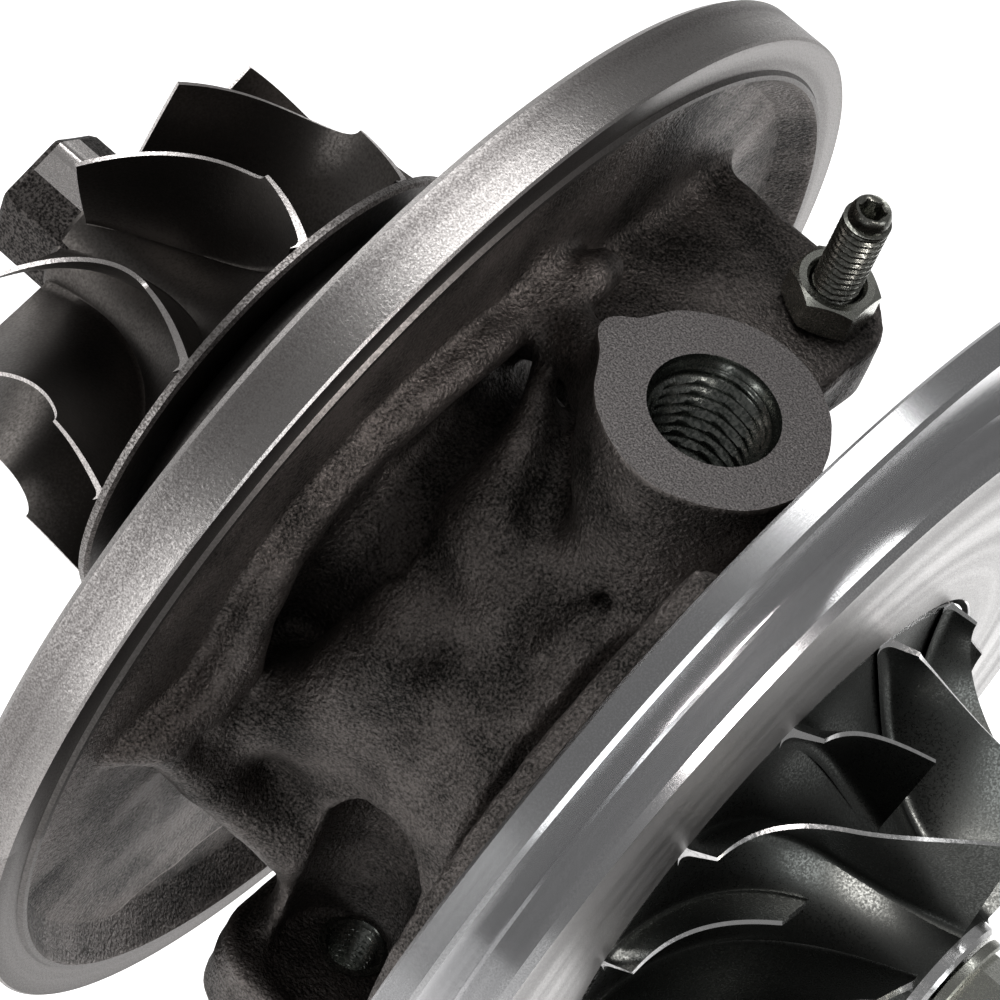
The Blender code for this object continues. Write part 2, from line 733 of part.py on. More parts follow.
def gusset(side):
    """The thick corner where the block runs into the flange's web."""
    near, far = sorted((side * BLOCK_HALF_WIDTH / 2, side * GUSSET_REACH))
    return block(
        f"block gusset {side}", (WEB_MIDDLE, near, GUSSET_BOTTOM), (GUSSET_FRONT, far, GUSSET_TOP), BLOCK_ROUND,
    )


def strut(side):
    """The round rib that runs from the block's lower edge out to the flange's web."""
    web, foot = ((x, y * side, z) for x, y, z in (STRUT_WEB_POINT, STRUT_BLOCK_POINT))
    return solid_bar(f"block strut {side}", web, foot, STRUT_RADIUS, BOLT_TURN)


def thrust_pin_hole(name, side):
    """A cutter for a dowel's hole, open at the thrust bearing's front."""
    y = side * THRUST_PIN_CIRCLE
    return solid_bar(
        name, (THRUST_PIN_START - CLEARANCE, y, 0), (THRUST_END + OVERSHOOT, y, 0),
        THRUST_PIN_RADIUS + CLEARANCE, BOLT_TURN,
    )


def plate_screw_place(index):
    """The (y, z) of a backplate screw."""
    return on_circle(PLATE_SCREW_CIRCLE, PLATE_SCREW_ANGLE + 360 / PLATE_SCREW_COUNT * index)


def plate_screw_bar(name, index, extra, material=None):
    """The shank of a backplate screw, or with extra clearance the hole for it."""
    place_yz = plate_screw_place(index)
    return solid_bar(
        name, (PLATE_SCREW_END - PLATE_SCREW_LENGTH - extra, *place_yz), (PLATE_SCREW_END + extra * 2, *place_yz),
        PLATE_SCREW_RADIUS + extra, BOLT_TURN, material,
    )


def plate_screw_head(name, index, extra):
    """The countersunk head, or with extra clearance a cutter that widens past the recess floor."""
    start = PLATE_SCREW_END - PLATE_SCREW_HEAD_DEPTH
    length = PLATE_SCREW_HEAD_DEPTH + extra * 4
    neck = PLATE_SCREW_RADIUS + extra * math.sqrt(2)
    bm = bmesh.new()
    middle = Matrix.Translation(Vector((start + length / 2, *plate_screw_place(index))) * MM)
    bmesh.ops.create_cone(
        bm, cap_ends=True, segments=BOLT_TURN, radius1=neck * MM, radius2=(neck + length) * MM,
        depth=length * MM, matrix=middle @ Matrix.Rotation(math.pi / 2, 4, "Y"),
    )
    return object_from(bm, name)


def compressor_backplate():
    """The turned aluminium plate that closes the housing and locates the compressor cover."""
    groove_half = O_RING_RADIUS + CLEARANCE
    groove_radius = THRUST_POCKET_RADIUS - CLEARANCE - 2 * O_RING_RADIUS - CLEARANCE
    outline = [
        (BOSS_START, DEFLECTOR_HOLE_RADIUS),
        (BOSS_START, BOSS_RADIUS),
        (O_RING_X - groove_half, BOSS_RADIUS),
        (O_RING_X - groove_half, groove_radius),
        (O_RING_X + groove_half, groove_radius),
        (O_RING_X + groove_half, BOSS_RADIUS),
        (BACKPLATE_START, BOSS_RADIUS),
        (BACKPLATE_START, BACKPLATE_RADIUS - PLATE_CHAMFER),
        (BACKPLATE_START + PLATE_CHAMFER, BACKPLATE_RADIUS),
        (PLATE_STEP - PLATE_CHAMFER, BACKPLATE_RADIUS),
        (PLATE_STEP, BACKPLATE_RADIUS - PLATE_CHAMFER),
        (PLATE_STEP, SPIGOT_RADIUS),
        (PLATE_FRONT - SPIGOT_CHAMFER, SPIGOT_RADIUS),
        (PLATE_FRONT, SPIGOT_RADIUS - SPIGOT_CHAMFER * 0.6),
        (PLATE_FRONT, RECESS_RADIUS),
        (RECESS_FLOOR, RECESS_RADIUS),
        (RECESS_FLOOR, SEAL_BORE_RADIUS),
        (BOSS_START + DEFLECTOR_SEAT, SEAL_BORE_RADIUS),
        (BOSS_START + DEFLECTOR_SEAT, DEFLECTOR_HOLE_RADIUS),
    ]
    backplate = turned("compressor_backplate", outline, LARGE_TURN, aluminium())
    for index in range(PLATE_SCREW_COUNT):
        cut(
            backplate,
            plate_screw_bar(f"plate hole {index}", index, CLEARANCE),
            plate_screw_head(f"plate countersink {index}", index, CLEARANCE),
        )
    return backplate


def backplate_screws():
    for index in range(PLATE_SCREW_COUNT):
        screw = plate_screw_bar(f"backplate_screw_{index + 1}", index, 0, spring_steel())
        join(screw, plate_screw_head(f"screw head {index}", index, 0))
        place_yz = plate_screw_place(index)
        cut(
            screw,
            solid_bar(
                f"screw socket {index}", (PLATE_SCREW_END - PLATE_SCREW_SOCKET_DEPTH, *place_yz),
                (PLATE_SCREW_END + OVERSHOOT, *place_yz), hexagon_radius(SOCKET_ACROSS_FLATS), 6,
            ),
        )


def seal_rings():
    pocket = THRUST_POCKET_RADIUS - CLEARANCE - O_RING_RADIUS
    outline = []
    for step in range(O_RING_FACETS):
        angle = 2 * math.pi * step / O_RING_FACETS
        outline.append((O_RING_X + O_RING_RADIUS * math.cos(angle), pocket + O_RING_RADIUS * math.sin(angle)))
    turned("backplate_seal_ring", outline, WHEEL_TURN, rubber())
    for name, start in (
        ("turbine_seal_ring", TURBINE_SEAL_START),
        ("compressor_seal_ring", COMPRESSOR_SEAL_START),
    ):
        split_ring(
            name, start, SEAL_RING_WIDTH, SEAL_RING_INNER_RADIUS, SEAL_RING_OUTER_RADIUS, SEAL_RING_GAP,
        )


def split_ring(name, start, width, inner, outer, gap):
    """A ring cut through once, as a piston ring or a snap ring is."""
    piece = ring(name, start, start + width, inner, outer, SMALL_TURN, spring_steel())
    low = (start - OVERSHOOT, -gap / 2, inner - OVERSHOOT)
    high = (start + width + OVERSHOOT, gap / 2, outer + OVERSHOOT)
    cut(piece, block(name + " split", low, high))


def snap_rings():
    for name, start in SNAP_RING_STARTS.items():
        split_ring(
            name, start, SNAP_RING_WIDTH, SNAP_RING_INNER_RADIUS, SNAP_RING_OUTER_RADIUS, SNAP_RING_GAP,
        )


def journal_bearings():
    for name, start in (
        ("journal_bearing_turbine", TURBINE_BEARING_START),
        ("journal_bearing_compressor", COMPRESSOR_BEARING_START),
    ):
        end = start + BEARING_LENGTH
        bearing = turned(
            name,
            [
                (start, BEARING_INNER_RADIUS),
                (start, BEARING_OUTER_RADIUS - BEARING_CHAMFER),
                (start + BEARING_CHAMFER, BEARING_OUTER_RADIUS),
                (end - BEARING_CHAMFER, BEARING_OUTER_RADIUS),
                (end, BEARING_OUTER_RADIUS - BEARING_CHAMFER),
                (end, BEARING_INNER_RADIUS),
            ],
            SMALL_TURN,
            bronze(),
        )
        middle = (start + end) / 2
        for degrees in FEED_HOLE_ANGLES:
            y, z = on_circle(BEARING_OUTER_RADIUS + OVERSHOOT, degrees)
            cut(
                bearing,
                solid_bar(f"{name} feed {degrees}", (middle, y, z), (middle, -y, -z), FEED_HOLE_RADIUS, 8),
            )


def heat_shield():
    """The pressed cup that keeps exhaust heat off the snout. Its lip lies in a seat of the flange."""
    inner = SNOUT_RADIUS + CLEARANCE
    outer = inner + SHIELD_THICKNESS
    lip_back = SHIELD_SEAT - CLEARANCE
    lip_front = lip_back - SHIELD_THICKNESS
    bottom_back = SNOUT_END - CLEARANCE
    bottom_front = bottom_back - SHIELD_THICKNESS
    turned(
        "heat_shield",
        [
            (bottom_back, SHIELD_HOLE_RADIUS),
            (bottom_back, SNOUT_RADIUS - SNOUT_CHAMFER),
            (bottom_back + SNOUT_CHAMFER, inner),
            (lip_back, inner),
            (lip_back, SHIELD_LIP_RADIUS),
            (lip_front, SHIELD_LIP_RADIUS),
            (lip_front, outer),
            (bottom_back + SNOUT_CHAMFER, outer),
            (bottom_front, SNOUT_RADIUS - SNOUT_CHAMFER),
            (bottom_front, SHIELD_HOLE_RADIUS),
        ],
        WHEEL_TURN,
        spring_steel(),
    )


def thrust_parts():
    """The thrust bearing with its two dowels, and the pressed oil deflector in front of it."""
    bearing = ring(
        "thrust_bearing", THRUST_START, THRUST_END, THRUST_HOLE_RADIUS, THRUST_RADIUS, WHEEL_TURN, bronze(),
    )
    cut(
        bearing,
        block(
            "thrust notch",
            (THRUST_START - OVERSHOOT, -THRUST_NOTCH_WIDTH / 2, -THRUST_RADIUS - OVERSHOOT),
            (THRUST_END + OVERSHOOT, THRUST_NOTCH_WIDTH / 2, -THRUST_RADIUS + THRUST_NOTCH_HEIGHT),
        ),
    )
    for side, label in ((-1, "left"), (1, "right")):
        cut(bearing, thrust_pin_hole(f"thrust pin hole {side}", side))
        y = side * THRUST_PIN_CIRCLE
        solid_bar(
            f"thrust_bearing_pin_{label}", (THRUST_PIN_START, y, 0), (THRUST_PIN_END, y, 0),
            THRUST_PIN_RADIUS, BOLT_TURN, spring_steel(),
        )
    start = THRUST_END + CLEARANCE
    turned(
        "oil_deflector",
        [
            (start, DEFLECTOR_HOLE_RADIUS),
            (start, THRUST_RADIUS),
            (start + DEFLECTOR_THICKNESS, THRUST_RADIUS),
            (start + DEFLECTOR_THICKNESS, DEFLECTOR_HOLE_RADIUS),
        ],
        WHEEL_TURN,
        spring_steel(),
    )


def grooved(start, end, radius, groove_start):
    """The outer side of a sleeve with one piston ring groove, from start to end."""
    return [
        (start, radius),
        (groove_start - CLEARANCE, radius),
        (groove_start - CLEARANCE, SEAL_GROOVE_RADIUS),
        (groove_start + SEAL_RING_WIDTH + CLEARANCE, SEAL_GROOVE_RADIUS),
        (groove_start + SEAL_RING_WIDTH + CLEARANCE, radius),
        (end, radius),
    ]


def rotor_sleeves():
    turned(
        "thrust_collar",
        [
            (COLLAR_START, STUB_BORE_RADIUS),
            (COLLAR_START, COLLAR_RADIUS),
            (COLLAR_START + COLLAR_FLANGE, COLLAR_RADIUS),
            (COLLAR_START + COLLAR_FLANGE, COLLAR_NECK_RADIUS),
            (THRUST_END, COLLAR_NECK_RADIUS),
            (THRUST_END, STUB_BORE_RADIUS),
        ],
        SMALL_TURN,
        bright_steel(),
    )
    turned(
        "oil_flinger",
        [
            (FLINGER_START, STUB_BORE_RADIUS),
            (FLINGER_START, FLINGER_FLANGE_RADIUS),
            (FLINGER_START + FLINGER_FLANGE, FLINGER_FLANGE_RADIUS),
        ]
        + grooved(FLINGER_START + FLINGER_FLANGE, FLINGER_END, FLINGER_RADIUS, COMPRESSOR_SEAL_START)
        + [(FLINGER_END, STUB_BORE_RADIUS)],
        SMALL_TURN,
        bright_steel(),
    )


def rotor_shaft():
    waist_start = TURBINE_BEARING_START + BEARING_LENGTH + SNAP_RING_PLAY + SNAP_RING_WIDTH
    waist_end = COMPRESSOR_BEARING_START - SNAP_RING_PLAY - SNAP_RING_WIDTH
    turned(
        "rotor_shaft",
        [
            (WELD_SPIGOT_END, 0),
            (WELD_SPIGOT_END, WELD_SPIGOT_RADIUS),
            (SHAFT_START, WELD_SPIGOT_RADIUS),
            (SHAFT_START, JOURNAL_RADIUS),
            (waist_start, JOURNAL_RADIUS),
            (waist_start + WAIST_TAPER, WAIST_RADIUS),
            (waist_end - WAIST_TAPER, WAIST_RADIUS),
            (waist_end, JOURNAL_RADIUS),
            (STUB_START, JOURNAL_RADIUS),
            (STUB_START, STUB_RADIUS),
            (SHAFT_END - STUB_CHAMFER, STUB_RADIUS),
            (SHAFT_END, STUB_RADIUS - STUB_CHAMFER),
            (SHAFT_END, 0),
        ],
        SMALL_TURN,
        bright_steel(),
    )


def blade_set(name, count, phase, station, along, across, reach, thickness):
    """Thin blades round the shaft, each an open sheet from station(u, v) that Solidify thickens.

    station gives (x, radius, degrees), with u running along the gas path and v from the hub to the shroud.
    """
    bm = bmesh.new()
    for index in range(count):
        grid = []
        for i in range(along + 1):
            row = []
            for j in range(across + 1):
                x, radius, degrees = station(reach * i / along, j / across)
                y, z = on_circle(radius, degrees + phase + 360 / count * index)
                row.append(bm.verts.new((x * MM, y * MM, z * MM)))
            grid.append(row)
        for i in range(along):
            for j in range(across):
                bm.faces.new((grid[i][j], grid[i + 1][j], grid[i + 1][j + 1], grid[i][j + 1]))
    mesh = bpy.data.meshes.new(name)
    bm.to_mesh(mesh)
    bm.free()
    obj = place(bpy.data.objects.new(name, mesh))
    solidify = obj.modifiers.new("thickness", "SOLIDIFY")
    solidify.thickness = thickness * MM
    solidify.offset = 0
    solidify.use_even_offset = True
    return obj


def turbine_station(u, v):
    """A radial-fibre turbine blade: its angle depends only on how far along the shaft a point lies."""
    angle = math.pi / 2 * u
    hub_start = TURBINE_DISC_FRONT + TURBINE_DISC_THICKNESS / 2
    hub_end_radius = TURBINE_HUB_END_RADIUS - TURBINE_BLADE_SINK
    hub_x = TURBINE_HUB_END - (TURBINE_HUB_END - hub_start) * math.cos(angle)
    hub_radius = TURBINE_TIP_RADIUS - (TURBINE_TIP_RADIUS - hub_end_radius) * math.sin(angle)
    shroud_start = TURBINE_DISC_FRONT - TURBINE_INLET_WIDTH
    shroud_x = TURBINE_EXIT_X - (TURBINE_EXIT_X - shroud_start) * math.cos(angle)
    shroud_radius = TURBINE_TIP_RADIUS - (TURBINE_TIP_RADIUS - TURBINE_EXIT_RADIUS) * math.sin(angle)
    x = hub_x + (shroud_x - hub_x) * v
    radius = hub_radius + (shroud_radius - hub_radius) * v
    past = x - TURBINE_CAMBER_LOW
    curve = TURBINE_INLET_CURVE if past > 0 else TURBINE_EXIT_CURVE
    return x, radius, curve * past * past


def turbine_wheel():
    """The cast exhaust wheel with its back disc, sealing shank and drive head."""
    bore_floor = WELD_SPIGOT_END - CLEARANCE
    bore_radius = WELD_SPIGOT_RADIUS + CLEARANCE
    shank_end = SHAFT_START - CLEARANCE
    shank = grooved(TURBINE_BACK, shank_end, TURBINE_SHANK_RADIUS, TURBINE_SEAL_START)
    back_disc = [
        (TURBINE_BACK, TURBINE_DISC_RADIUS - TURBINE_DISC_CHAMFER),
        (TURBINE_BACK - TURBINE_DISC_CHAMFER, TURBINE_DISC_RADIUS),
    ]
    hub = quarter(
        (TURBINE_DISC_FRONT, TURBINE_DISC_RADIUS), (TURBINE_HUB_END, TURBINE_HUB_END_RADIUS), 8,
    )
    outline = (
        [(bore_floor, 0), (bore_floor, bore_radius), (shank_end, bore_radius)]
        + shank[::-1]
        + back_disc
        + hub
        + [(TURBINE_HUB_END, 0)]
    )
    wheel = turned("turbine_wheel", outline, WHEEL_TURN, turbine_alloy())
    blades = blade_set(
        "turbine blades", TURBINE_BLADES, TURBINE_TIP_ANGLE, turbine_station, 7, 2, 1.0,
        TURBINE_BLADE_THICKNESS,
    )
    head = solid_bar(
        "drive head", (TURBINE_HUB_END + OVERSHOOT, 0, 0), (TURBINE_HUB_END - TURBINE_HEAD_LENGTH, 0, 0),
        TURBINE_HEAD_RADIUS, 6,
    )
    join(wheel, blades, head)


def compressor_station(u, v):
    """A backswept compressor blade; u runs from the tip edge in to the eye."""
    power = 2 / COMPRESSOR_EDGE_POWER
    angle = math.pi / 2 * u
    hub_end_radius = COMPRESSOR_NOSE_RADIUS - COMPRESSOR_BLADE_SINK
    hub_x = (
        COMPRESSOR_NOSE_START - COMPRESSOR_BLADE_SINK
        - (COMPRESSOR_NOSE_START - COMPRESSOR_RIM_X) * math.cos(angle)
    )
    hub_radius = COMPRESSOR_RADIUS - (COMPRESSOR_RADIUS - hub_end_radius) * math.sin(angle)
    rim = COMPRESSOR_RIM_X + COMPRESSOR_TIP_HEIGHT
    eye_depth = COMPRESSOR_RADIUS - COMPRESSOR_EYE_RADIUS
    shroud_x = COMPRESSOR_EYE_X - (COMPRESSOR_EYE_X - rim) * math.cos(angle) ** power
    shroud_radius = COMPRESSOR_RADIUS - eye_depth * math.sin(angle) ** power
    x = hub_x + (shroud_x - hub_x) * v
    radius = hub_radius + (shroud_radius - hub_radius) * v
    eye = max(0.0, u - COMPRESSOR_EYE_START)
    turn = COMPRESSOR_WRAP * u + COMPRESSOR_EYE_WRAP * eye * eye
    return x, radius, COMPRESSOR_RAKE * (1 - v) * (1 - u) - turn


def compressor_wheel():
    """The milled air wheel: full blades and splitters stand alternately on a flared hub."""
    back = COMPRESSOR_RIM_X - COMPRESSOR_DISC_THICKNESS
    hub = quarter((COMPRESSOR_RIM_X, COMPRESSOR_RADIUS), (COMPRESSOR_NOSE_START, COMPRESSOR_NOSE_RADIUS), 9)
    outline = (
        [
            (COMPRESSOR_HUB_BACK, STUB_BORE_RADIUS),
            (COMPRESSOR_HUB_BACK, COMPRESSOR_HUB_BACK_RADIUS),
            (back, COMPRESSOR_HUB_BACK_RADIUS),
            (back, COMPRESSOR_RADIUS),
        ]
        + hub
        + [
            (COMPRESSOR_NOSE_X, COMPRESSOR_NOSE_RADIUS - COMPRESSOR_NOSE_CHAMFER),
            (COMPRESSOR_NOSE_X, STUB_BORE_RADIUS),
        ]
    )
    wheel = turned("compressor_wheel", outline, WHEEL_TURN, wheel_aluminium())
    full = blade_set(
        "full blades", COMPRESSOR_PAIRS, COMPRESSOR_TIP_ANGLE, compressor_station, 8, 2, 1.0,
        COMPRESSOR_BLADE_THICKNESS,
    )
    splitters = blade_set(
        "splitter blades", COMPRESSOR_PAIRS, COMPRESSOR_TIP_ANGLE + 180 / COMPRESSOR_PAIRS,
        compressor_station, 5, 2, SPLITTER_SHARE, COMPRESSOR_BLADE_THICKNESS,
    )
    join(wheel, full, splitters)


def shaft_nut():
    start = COMPRESSOR_NOSE_X + CLEARANCE
    nut = solid_bar(
        "shaft_nut", (start, 0, 0), (start + SHAFT_NUT_LENGTH, 0, 0),
        hexagon_radius(SHAFT_NUT_ACROSS_FLATS), 6, bright_steel(),
    )
    join(
        nut,
        solid_bar(
            "nut flange", (start, 0, 0), (start + SHAFT_NUT_FLANGE, 0, 0), SHAFT_NUT_FLANGE_RADIUS, SMALL_TURN,
        ),
    )
    cut(
        nut,
        solid_bar(
            "nut bore", (start - OVERSHOOT, 0, 0), (start + SHAFT_NUT_LENGTH + OVERSHOOT, 0, 0),
            STUB_BORE_RADIUS, SMALL_TURN,
        ),
    )


def stop_screw():
    """The set screw that limits the vane lever, with its lock nut seated on the lug."""
    nut_top = NUT_START + NUT_THICKNESS
    top = nut_top + SCREW_ABOVE_NUT
    bottom = top - SCREW_LENGTH
    screw = solid_bar(
        "stop_screw", (LUG_X, LUG_Y, bottom), (LUG_X, LUG_Y, top), SCREW_RADIUS, BOLT_TURN, bright_steel(),
    )
    bevel = screw.modifiers.new("end chamfers", "BEVEL")
    bevel.width = SCREW_CHAMFER * MM
    bevel.segments = 1
    bevel.limit_method = "ANGLE"
    bevel.angle_limit = math.radians(60)
    cut(
        screw,
        solid_bar(
            "stop screw socket", (LUG_X, LUG_Y, top - SOCKET_DEPTH), (LUG_X, LUG_Y, top + OVERSHOOT),
            hexagon_radius(SOCKET_ACROSS_FLATS), 6,
        ),
    )
    nut = solid_bar(
        "lock_nut", (LUG_X, LUG_Y, NUT_START), (LUG_X, LUG_Y, nut_top),
        hexagon_radius(NUT_ACROSS_FLATS), 6, bright_steel(),
    )
    cut(
        nut,
        solid_bar(
            "lock nut bore", (LUG_X, LUG_Y, NUT_START - OVERSHOOT), (LUG_X, LUG_Y, nut_top + OVERSHOOT),
            LUG_SCREW_RADIUS, BOLT_TURN,
        ),
    )


def shade_round_pieces():
    for obj in parts.objects:
        obj.data.shade_smooth()
        obj.data.set_sharp_from_angle(angle=math.radians(30))


def build():
    global parts, helpers
    clear_scene()
    parts = new_collection("turbo_cartridge")
    helpers = new_collection("cutters")
    bearing_housing()
    compressor_backplate()
    backplate_screws()
    seal_rings()
    snap_rings()
    journal_bearings()
    heat_shield()
    thrust_parts()
    rotor_sleeves()
    rotor_shaft()
    turbine_wheel()
    compressor_wheel()
    shaft_nut()
    stop_screw()
    shade_round_pieces()


build()
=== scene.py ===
# %% [markdown]
# # A turbocharger cartridge
#
# The cartridge is the core of a turbocharger: a cast iron bearing housing between two discs, with a turbine
# wheel on one side and a compressor wheel on the other. The frame holds its plain solids, at their real
# size. This script gives each visible piece a fine surface and a finish. Lengths are in millimetres, as in
# a workshop drawing, and MM turns them into Blender's metres.

# %% Load the frame
import math

import bmesh
import bpy
import numpy as np
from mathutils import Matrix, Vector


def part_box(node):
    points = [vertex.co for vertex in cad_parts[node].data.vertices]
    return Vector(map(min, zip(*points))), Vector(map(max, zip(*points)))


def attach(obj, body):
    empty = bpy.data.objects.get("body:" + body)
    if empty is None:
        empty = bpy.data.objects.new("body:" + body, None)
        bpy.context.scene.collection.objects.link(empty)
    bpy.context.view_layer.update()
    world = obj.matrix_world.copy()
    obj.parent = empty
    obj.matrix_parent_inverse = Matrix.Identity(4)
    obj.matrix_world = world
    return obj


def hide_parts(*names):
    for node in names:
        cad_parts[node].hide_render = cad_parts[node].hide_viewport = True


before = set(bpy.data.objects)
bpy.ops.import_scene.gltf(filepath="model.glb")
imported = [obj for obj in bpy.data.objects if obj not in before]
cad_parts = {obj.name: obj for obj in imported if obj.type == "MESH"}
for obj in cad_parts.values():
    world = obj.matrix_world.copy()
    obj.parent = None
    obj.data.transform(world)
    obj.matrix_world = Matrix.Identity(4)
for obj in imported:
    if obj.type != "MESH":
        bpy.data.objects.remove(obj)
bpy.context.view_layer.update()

import openvdb
from mathutils import Matrix, Vector

MM = 0.001


def reach(node):
    """Where a node starts and ends along X, and its largest radius about the shaft, in millimetres."""
    low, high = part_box(node)
    return low.x / MM, high.x / MM, max(-low.y, high.y, -low.z, high.z) / MM


# %% [markdown]
# ## The camera
#
# All the large circles of the object share one axis, so their ellipses in the picture give the camera. It
# looks down at the oil inlet from the compressor's side, and it is rolled, which makes the shaft run from
# the upper left to the lower right. A long lens keeps the discs nearly parallel.

# %% Place the camera
CAMERA_PLACE = Vector((125.308, -300.094, 391.090))
CAMERA_RIGHT = Vector((0.72905, 0.63336, 0.25950))
CAMERA_UP = Vector((-0.64126, 0.49949, 0.58249))
CAMERA_BACK = CAMERA_RIGHT.cross(CAMERA_UP).normalized()
LENS = 189.07
SHIFT = (0.0417, 0.0544)

camera_data = bpy.data.cameras.new("camera")
camera_data.lens = LENS
camera_data.sensor_width = 36.0
camera_data.shift_x, camera_data.shift_y = SHIFT
camera_data.clip_start = 0.01
camera = bpy.data.objects.new("camera", camera_data)
camera.matrix_world = Matrix.Translation(CAMERA_PLACE * MM) @ Matrix(
    (CAMERA_RIGHT, CAMERA_UP, CAMERA_BACK)
).transposed().to_4x4()
bpy.context.scene.collection.objects.link(camera)
bpy.context.scene.camera = camera
bpy.context.scene.view_settings.view_transform = "Standard"
print("camera: lens", LENS, "mm, at", tuple(round(v) for v in CAMERA_PLACE), "mm")

# %% [markdown]
# ## Building shader trees
#
# The studio's light and every finish are small trees of nodes. These helpers keep their code short: an
# input is named with what goes into it, a value or a link from another node.

# %% Helpers for shader trees


def fill_inputs(tree, node, inputs):
    for key, value in inputs.items():
        if isinstance(value, bpy.types.NodeSocket):
            tree.links.new(value, node.inputs[key])
        else:
            node.inputs[key].default_value = value


def add_node(tree, kind, inputs=None, **settings):
    node = tree.nodes.new(kind)
    for key, value in settings.items():
        setattr(node, key, value)
    fill_inputs(tree, node, inputs or {})
    return node


def maths(tree, operation, *values):
    return add_node(tree, "ShaderNodeMath", dict(enumerate(values)), operation=operation).outputs[0]


def blend_values(tree, factor, low, high):
    inputs = {"Value": factor, "To Min": low, "To Max": high}
    return add_node(tree, "ShaderNodeMapRange", inputs).outputs[0]


def noise(tree, place, scale, detail, roughness=0.5):
    inputs = {"Vector": place, "Scale": scale, "Detail": detail, "Roughness": roughness}
    return add_node(tree, "ShaderNodeTexNoise", inputs).outputs["Fac"]


def new_material(name):
    material = bpy.data.materials.new(name)
    material.use_nodes = True
    return material, material.node_tree, material.node_tree.nodes["Principled BSDF"]


def shader_group(name, inputs, outputs):
    """An empty group with float inputs and outputs; returns the tree and its two end nodes."""
    tree = bpy.data.node_groups.new(name, "ShaderNodeTree")
    for label, value in inputs.items():
        socket = tree.interface.new_socket(label, in_out="INPUT", socket_type="NodeSocketFloat")
        socket.default_value = value
    for label in outputs:
        tree.interface.new_socket(label, in_out="OUTPUT", socket_type="NodeSocketFloat")
    start = tree.nodes.new("NodeGroupInput")
    end = tree.nodes.new("NodeGroupOutput")
    return tree, start.outputs, end.inputs


# %% [markdown]
# ## The studio
#
# Polished metal shows what stands round it, so the light matters as much as the metal. The world is white
# to the camera, and much darker as a light and in reflections. So the background stays white, and the
# hollows of the casting stay dark. Softboxes give the rims their long highlights. One lies low behind the
# object and lights the faces that look along the shaft, as a bright table top would.

# %% Light the studio
WORLD_LIGHT = 0.06
WORLD_REFLECTION = 0.20
FLOOR_DEPTH = 0.30
FLOOR_SIZE = 6.0
FLOOR_GLOW = 0.45
WHITE = (1.0, 1.0, 1.0, 1.0)


def make_world():
    world = bpy.data.worlds.new("studio")
    world.use_nodes = True
    tree = world.node_tree
    rays = add_node(tree, "ShaderNodeLightPath").outputs
    level = blend_values(tree, rays["Is Glossy Ray"], WORLD_LIGHT, WORLD_REFLECTION)
    for ray in ("Is Camera Ray", "Is Transmission Ray"):
        level = blend_values(tree, rays[ray], level, 1.0)
    fill_inputs(tree, tree.nodes["Background"], {"Strength": level, "Color": WHITE})
    bpy.context.scene.world = world


def soft_lamp(name, direction, distance, size, glow, colour=(1.0, 1.0, 1.0)):
    """A softbox that looks at the middle of the object; glow is how bright its face is, 1 being white."""
    data = bpy.data.lights.new(name, "AREA")
    data.shape = "RECTANGLE"
    data.size, data.size_y = size
    data.energy = glow * math.pi * size[0] * size[1]
    data.color = colour
    lamp = bpy.data.objects.new(name, data)
    aim = Vector(direction).normalized()
    lamp.location = aim * distance
    lamp.rotation_euler = aim.to_track_quat("Z", "Y").to_euler()
    bpy.context.scene.collection.objects.link(lamp)


def picture_direction(right, up, back):
    """A direction given as it looks in the picture: to the right, up, and towards the camera."""
    return CAMERA_RIGHT * right + CAMERA_UP * up + CAMERA_BACK * back


def make_floor():
    mesh = bpy.data.meshes.new("floor")
    bm = bmesh.new()
    bmesh.ops.create_grid(bm, x_segments=1, y_segments=1, size=FLOOR_SIZE / 2)
    bmesh.ops.translate(bm, verts=bm.verts, vec=(0, 0, -FLOOR_DEPTH))
    bm.to_mesh(mesh)
    bm.free()
    floor = bpy.data.objects.new("floor", mesh)
    bpy.context.scene.collection.objects.link(floor)
    material, tree, shader = new_material("floor_white")
    rays = add_node(tree, "ShaderNodeLightPath").outputs
    glow = maths(tree, "MULTIPLY_ADD", rays["Is Glossy Ray"], FLOOR_GLOW, rays["Is Camera Ray"])
    fill_inputs(tree, shader, {
        "Base Color": (0.9, 0.9, 0.9, 1.0), "Roughness": 0.8,
        "Emission Color": WHITE, "Emission Strength": glow,
    })
    mesh.materials.append(material)


make_world()
make_floor()
soft_lamp("lamp_above", picture_direction(0.15, 0.85, 0.6), 0.7, (0.50, 0.26), 3.2)
soft_lamp("lamp_left", picture_direction(-0.85, -0.15, 0.55), 0.7, (0.26, 0.45), 2.3)
soft_lamp("lamp_right", picture_direction(0.55, -0.18, 0.81), 0.7, (0.24, 0.28), 13.0, (1.0, 0.95, 0.93))
soft_lamp("lamp_lower_right", picture_direction(0.65, -0.6, 0.50), 0.8, (0.30, 0.30), 3.0, (0.97, 0.99, 1.0))
soft_lamp("lamp_behind", picture_direction(-0.45, 0.8, -0.15), 0.7, (0.4, 0.4), 2.5)
soft_lamp("lamp_floor", (0.27, 0.58, -0.77), 0.36, (0.24, 0.24), 1.2)
print("studio: six softboxes, world light", WORLD_LIGHT)

# %% [markdown]
# ## Grain, turned marks and wear
#
# Three effects serve all the metals here. Grain is the pebbled skin that sand leaves on cast iron, and
# finer grain makes blasted or machined iron sparkle. Turned marks are the rings that a lathe tool leaves,
# so they follow the radius and the length along the shaft, and never the angle. Wear lightens the places
# where the surface bulges.

# %% Build the shared shader groups


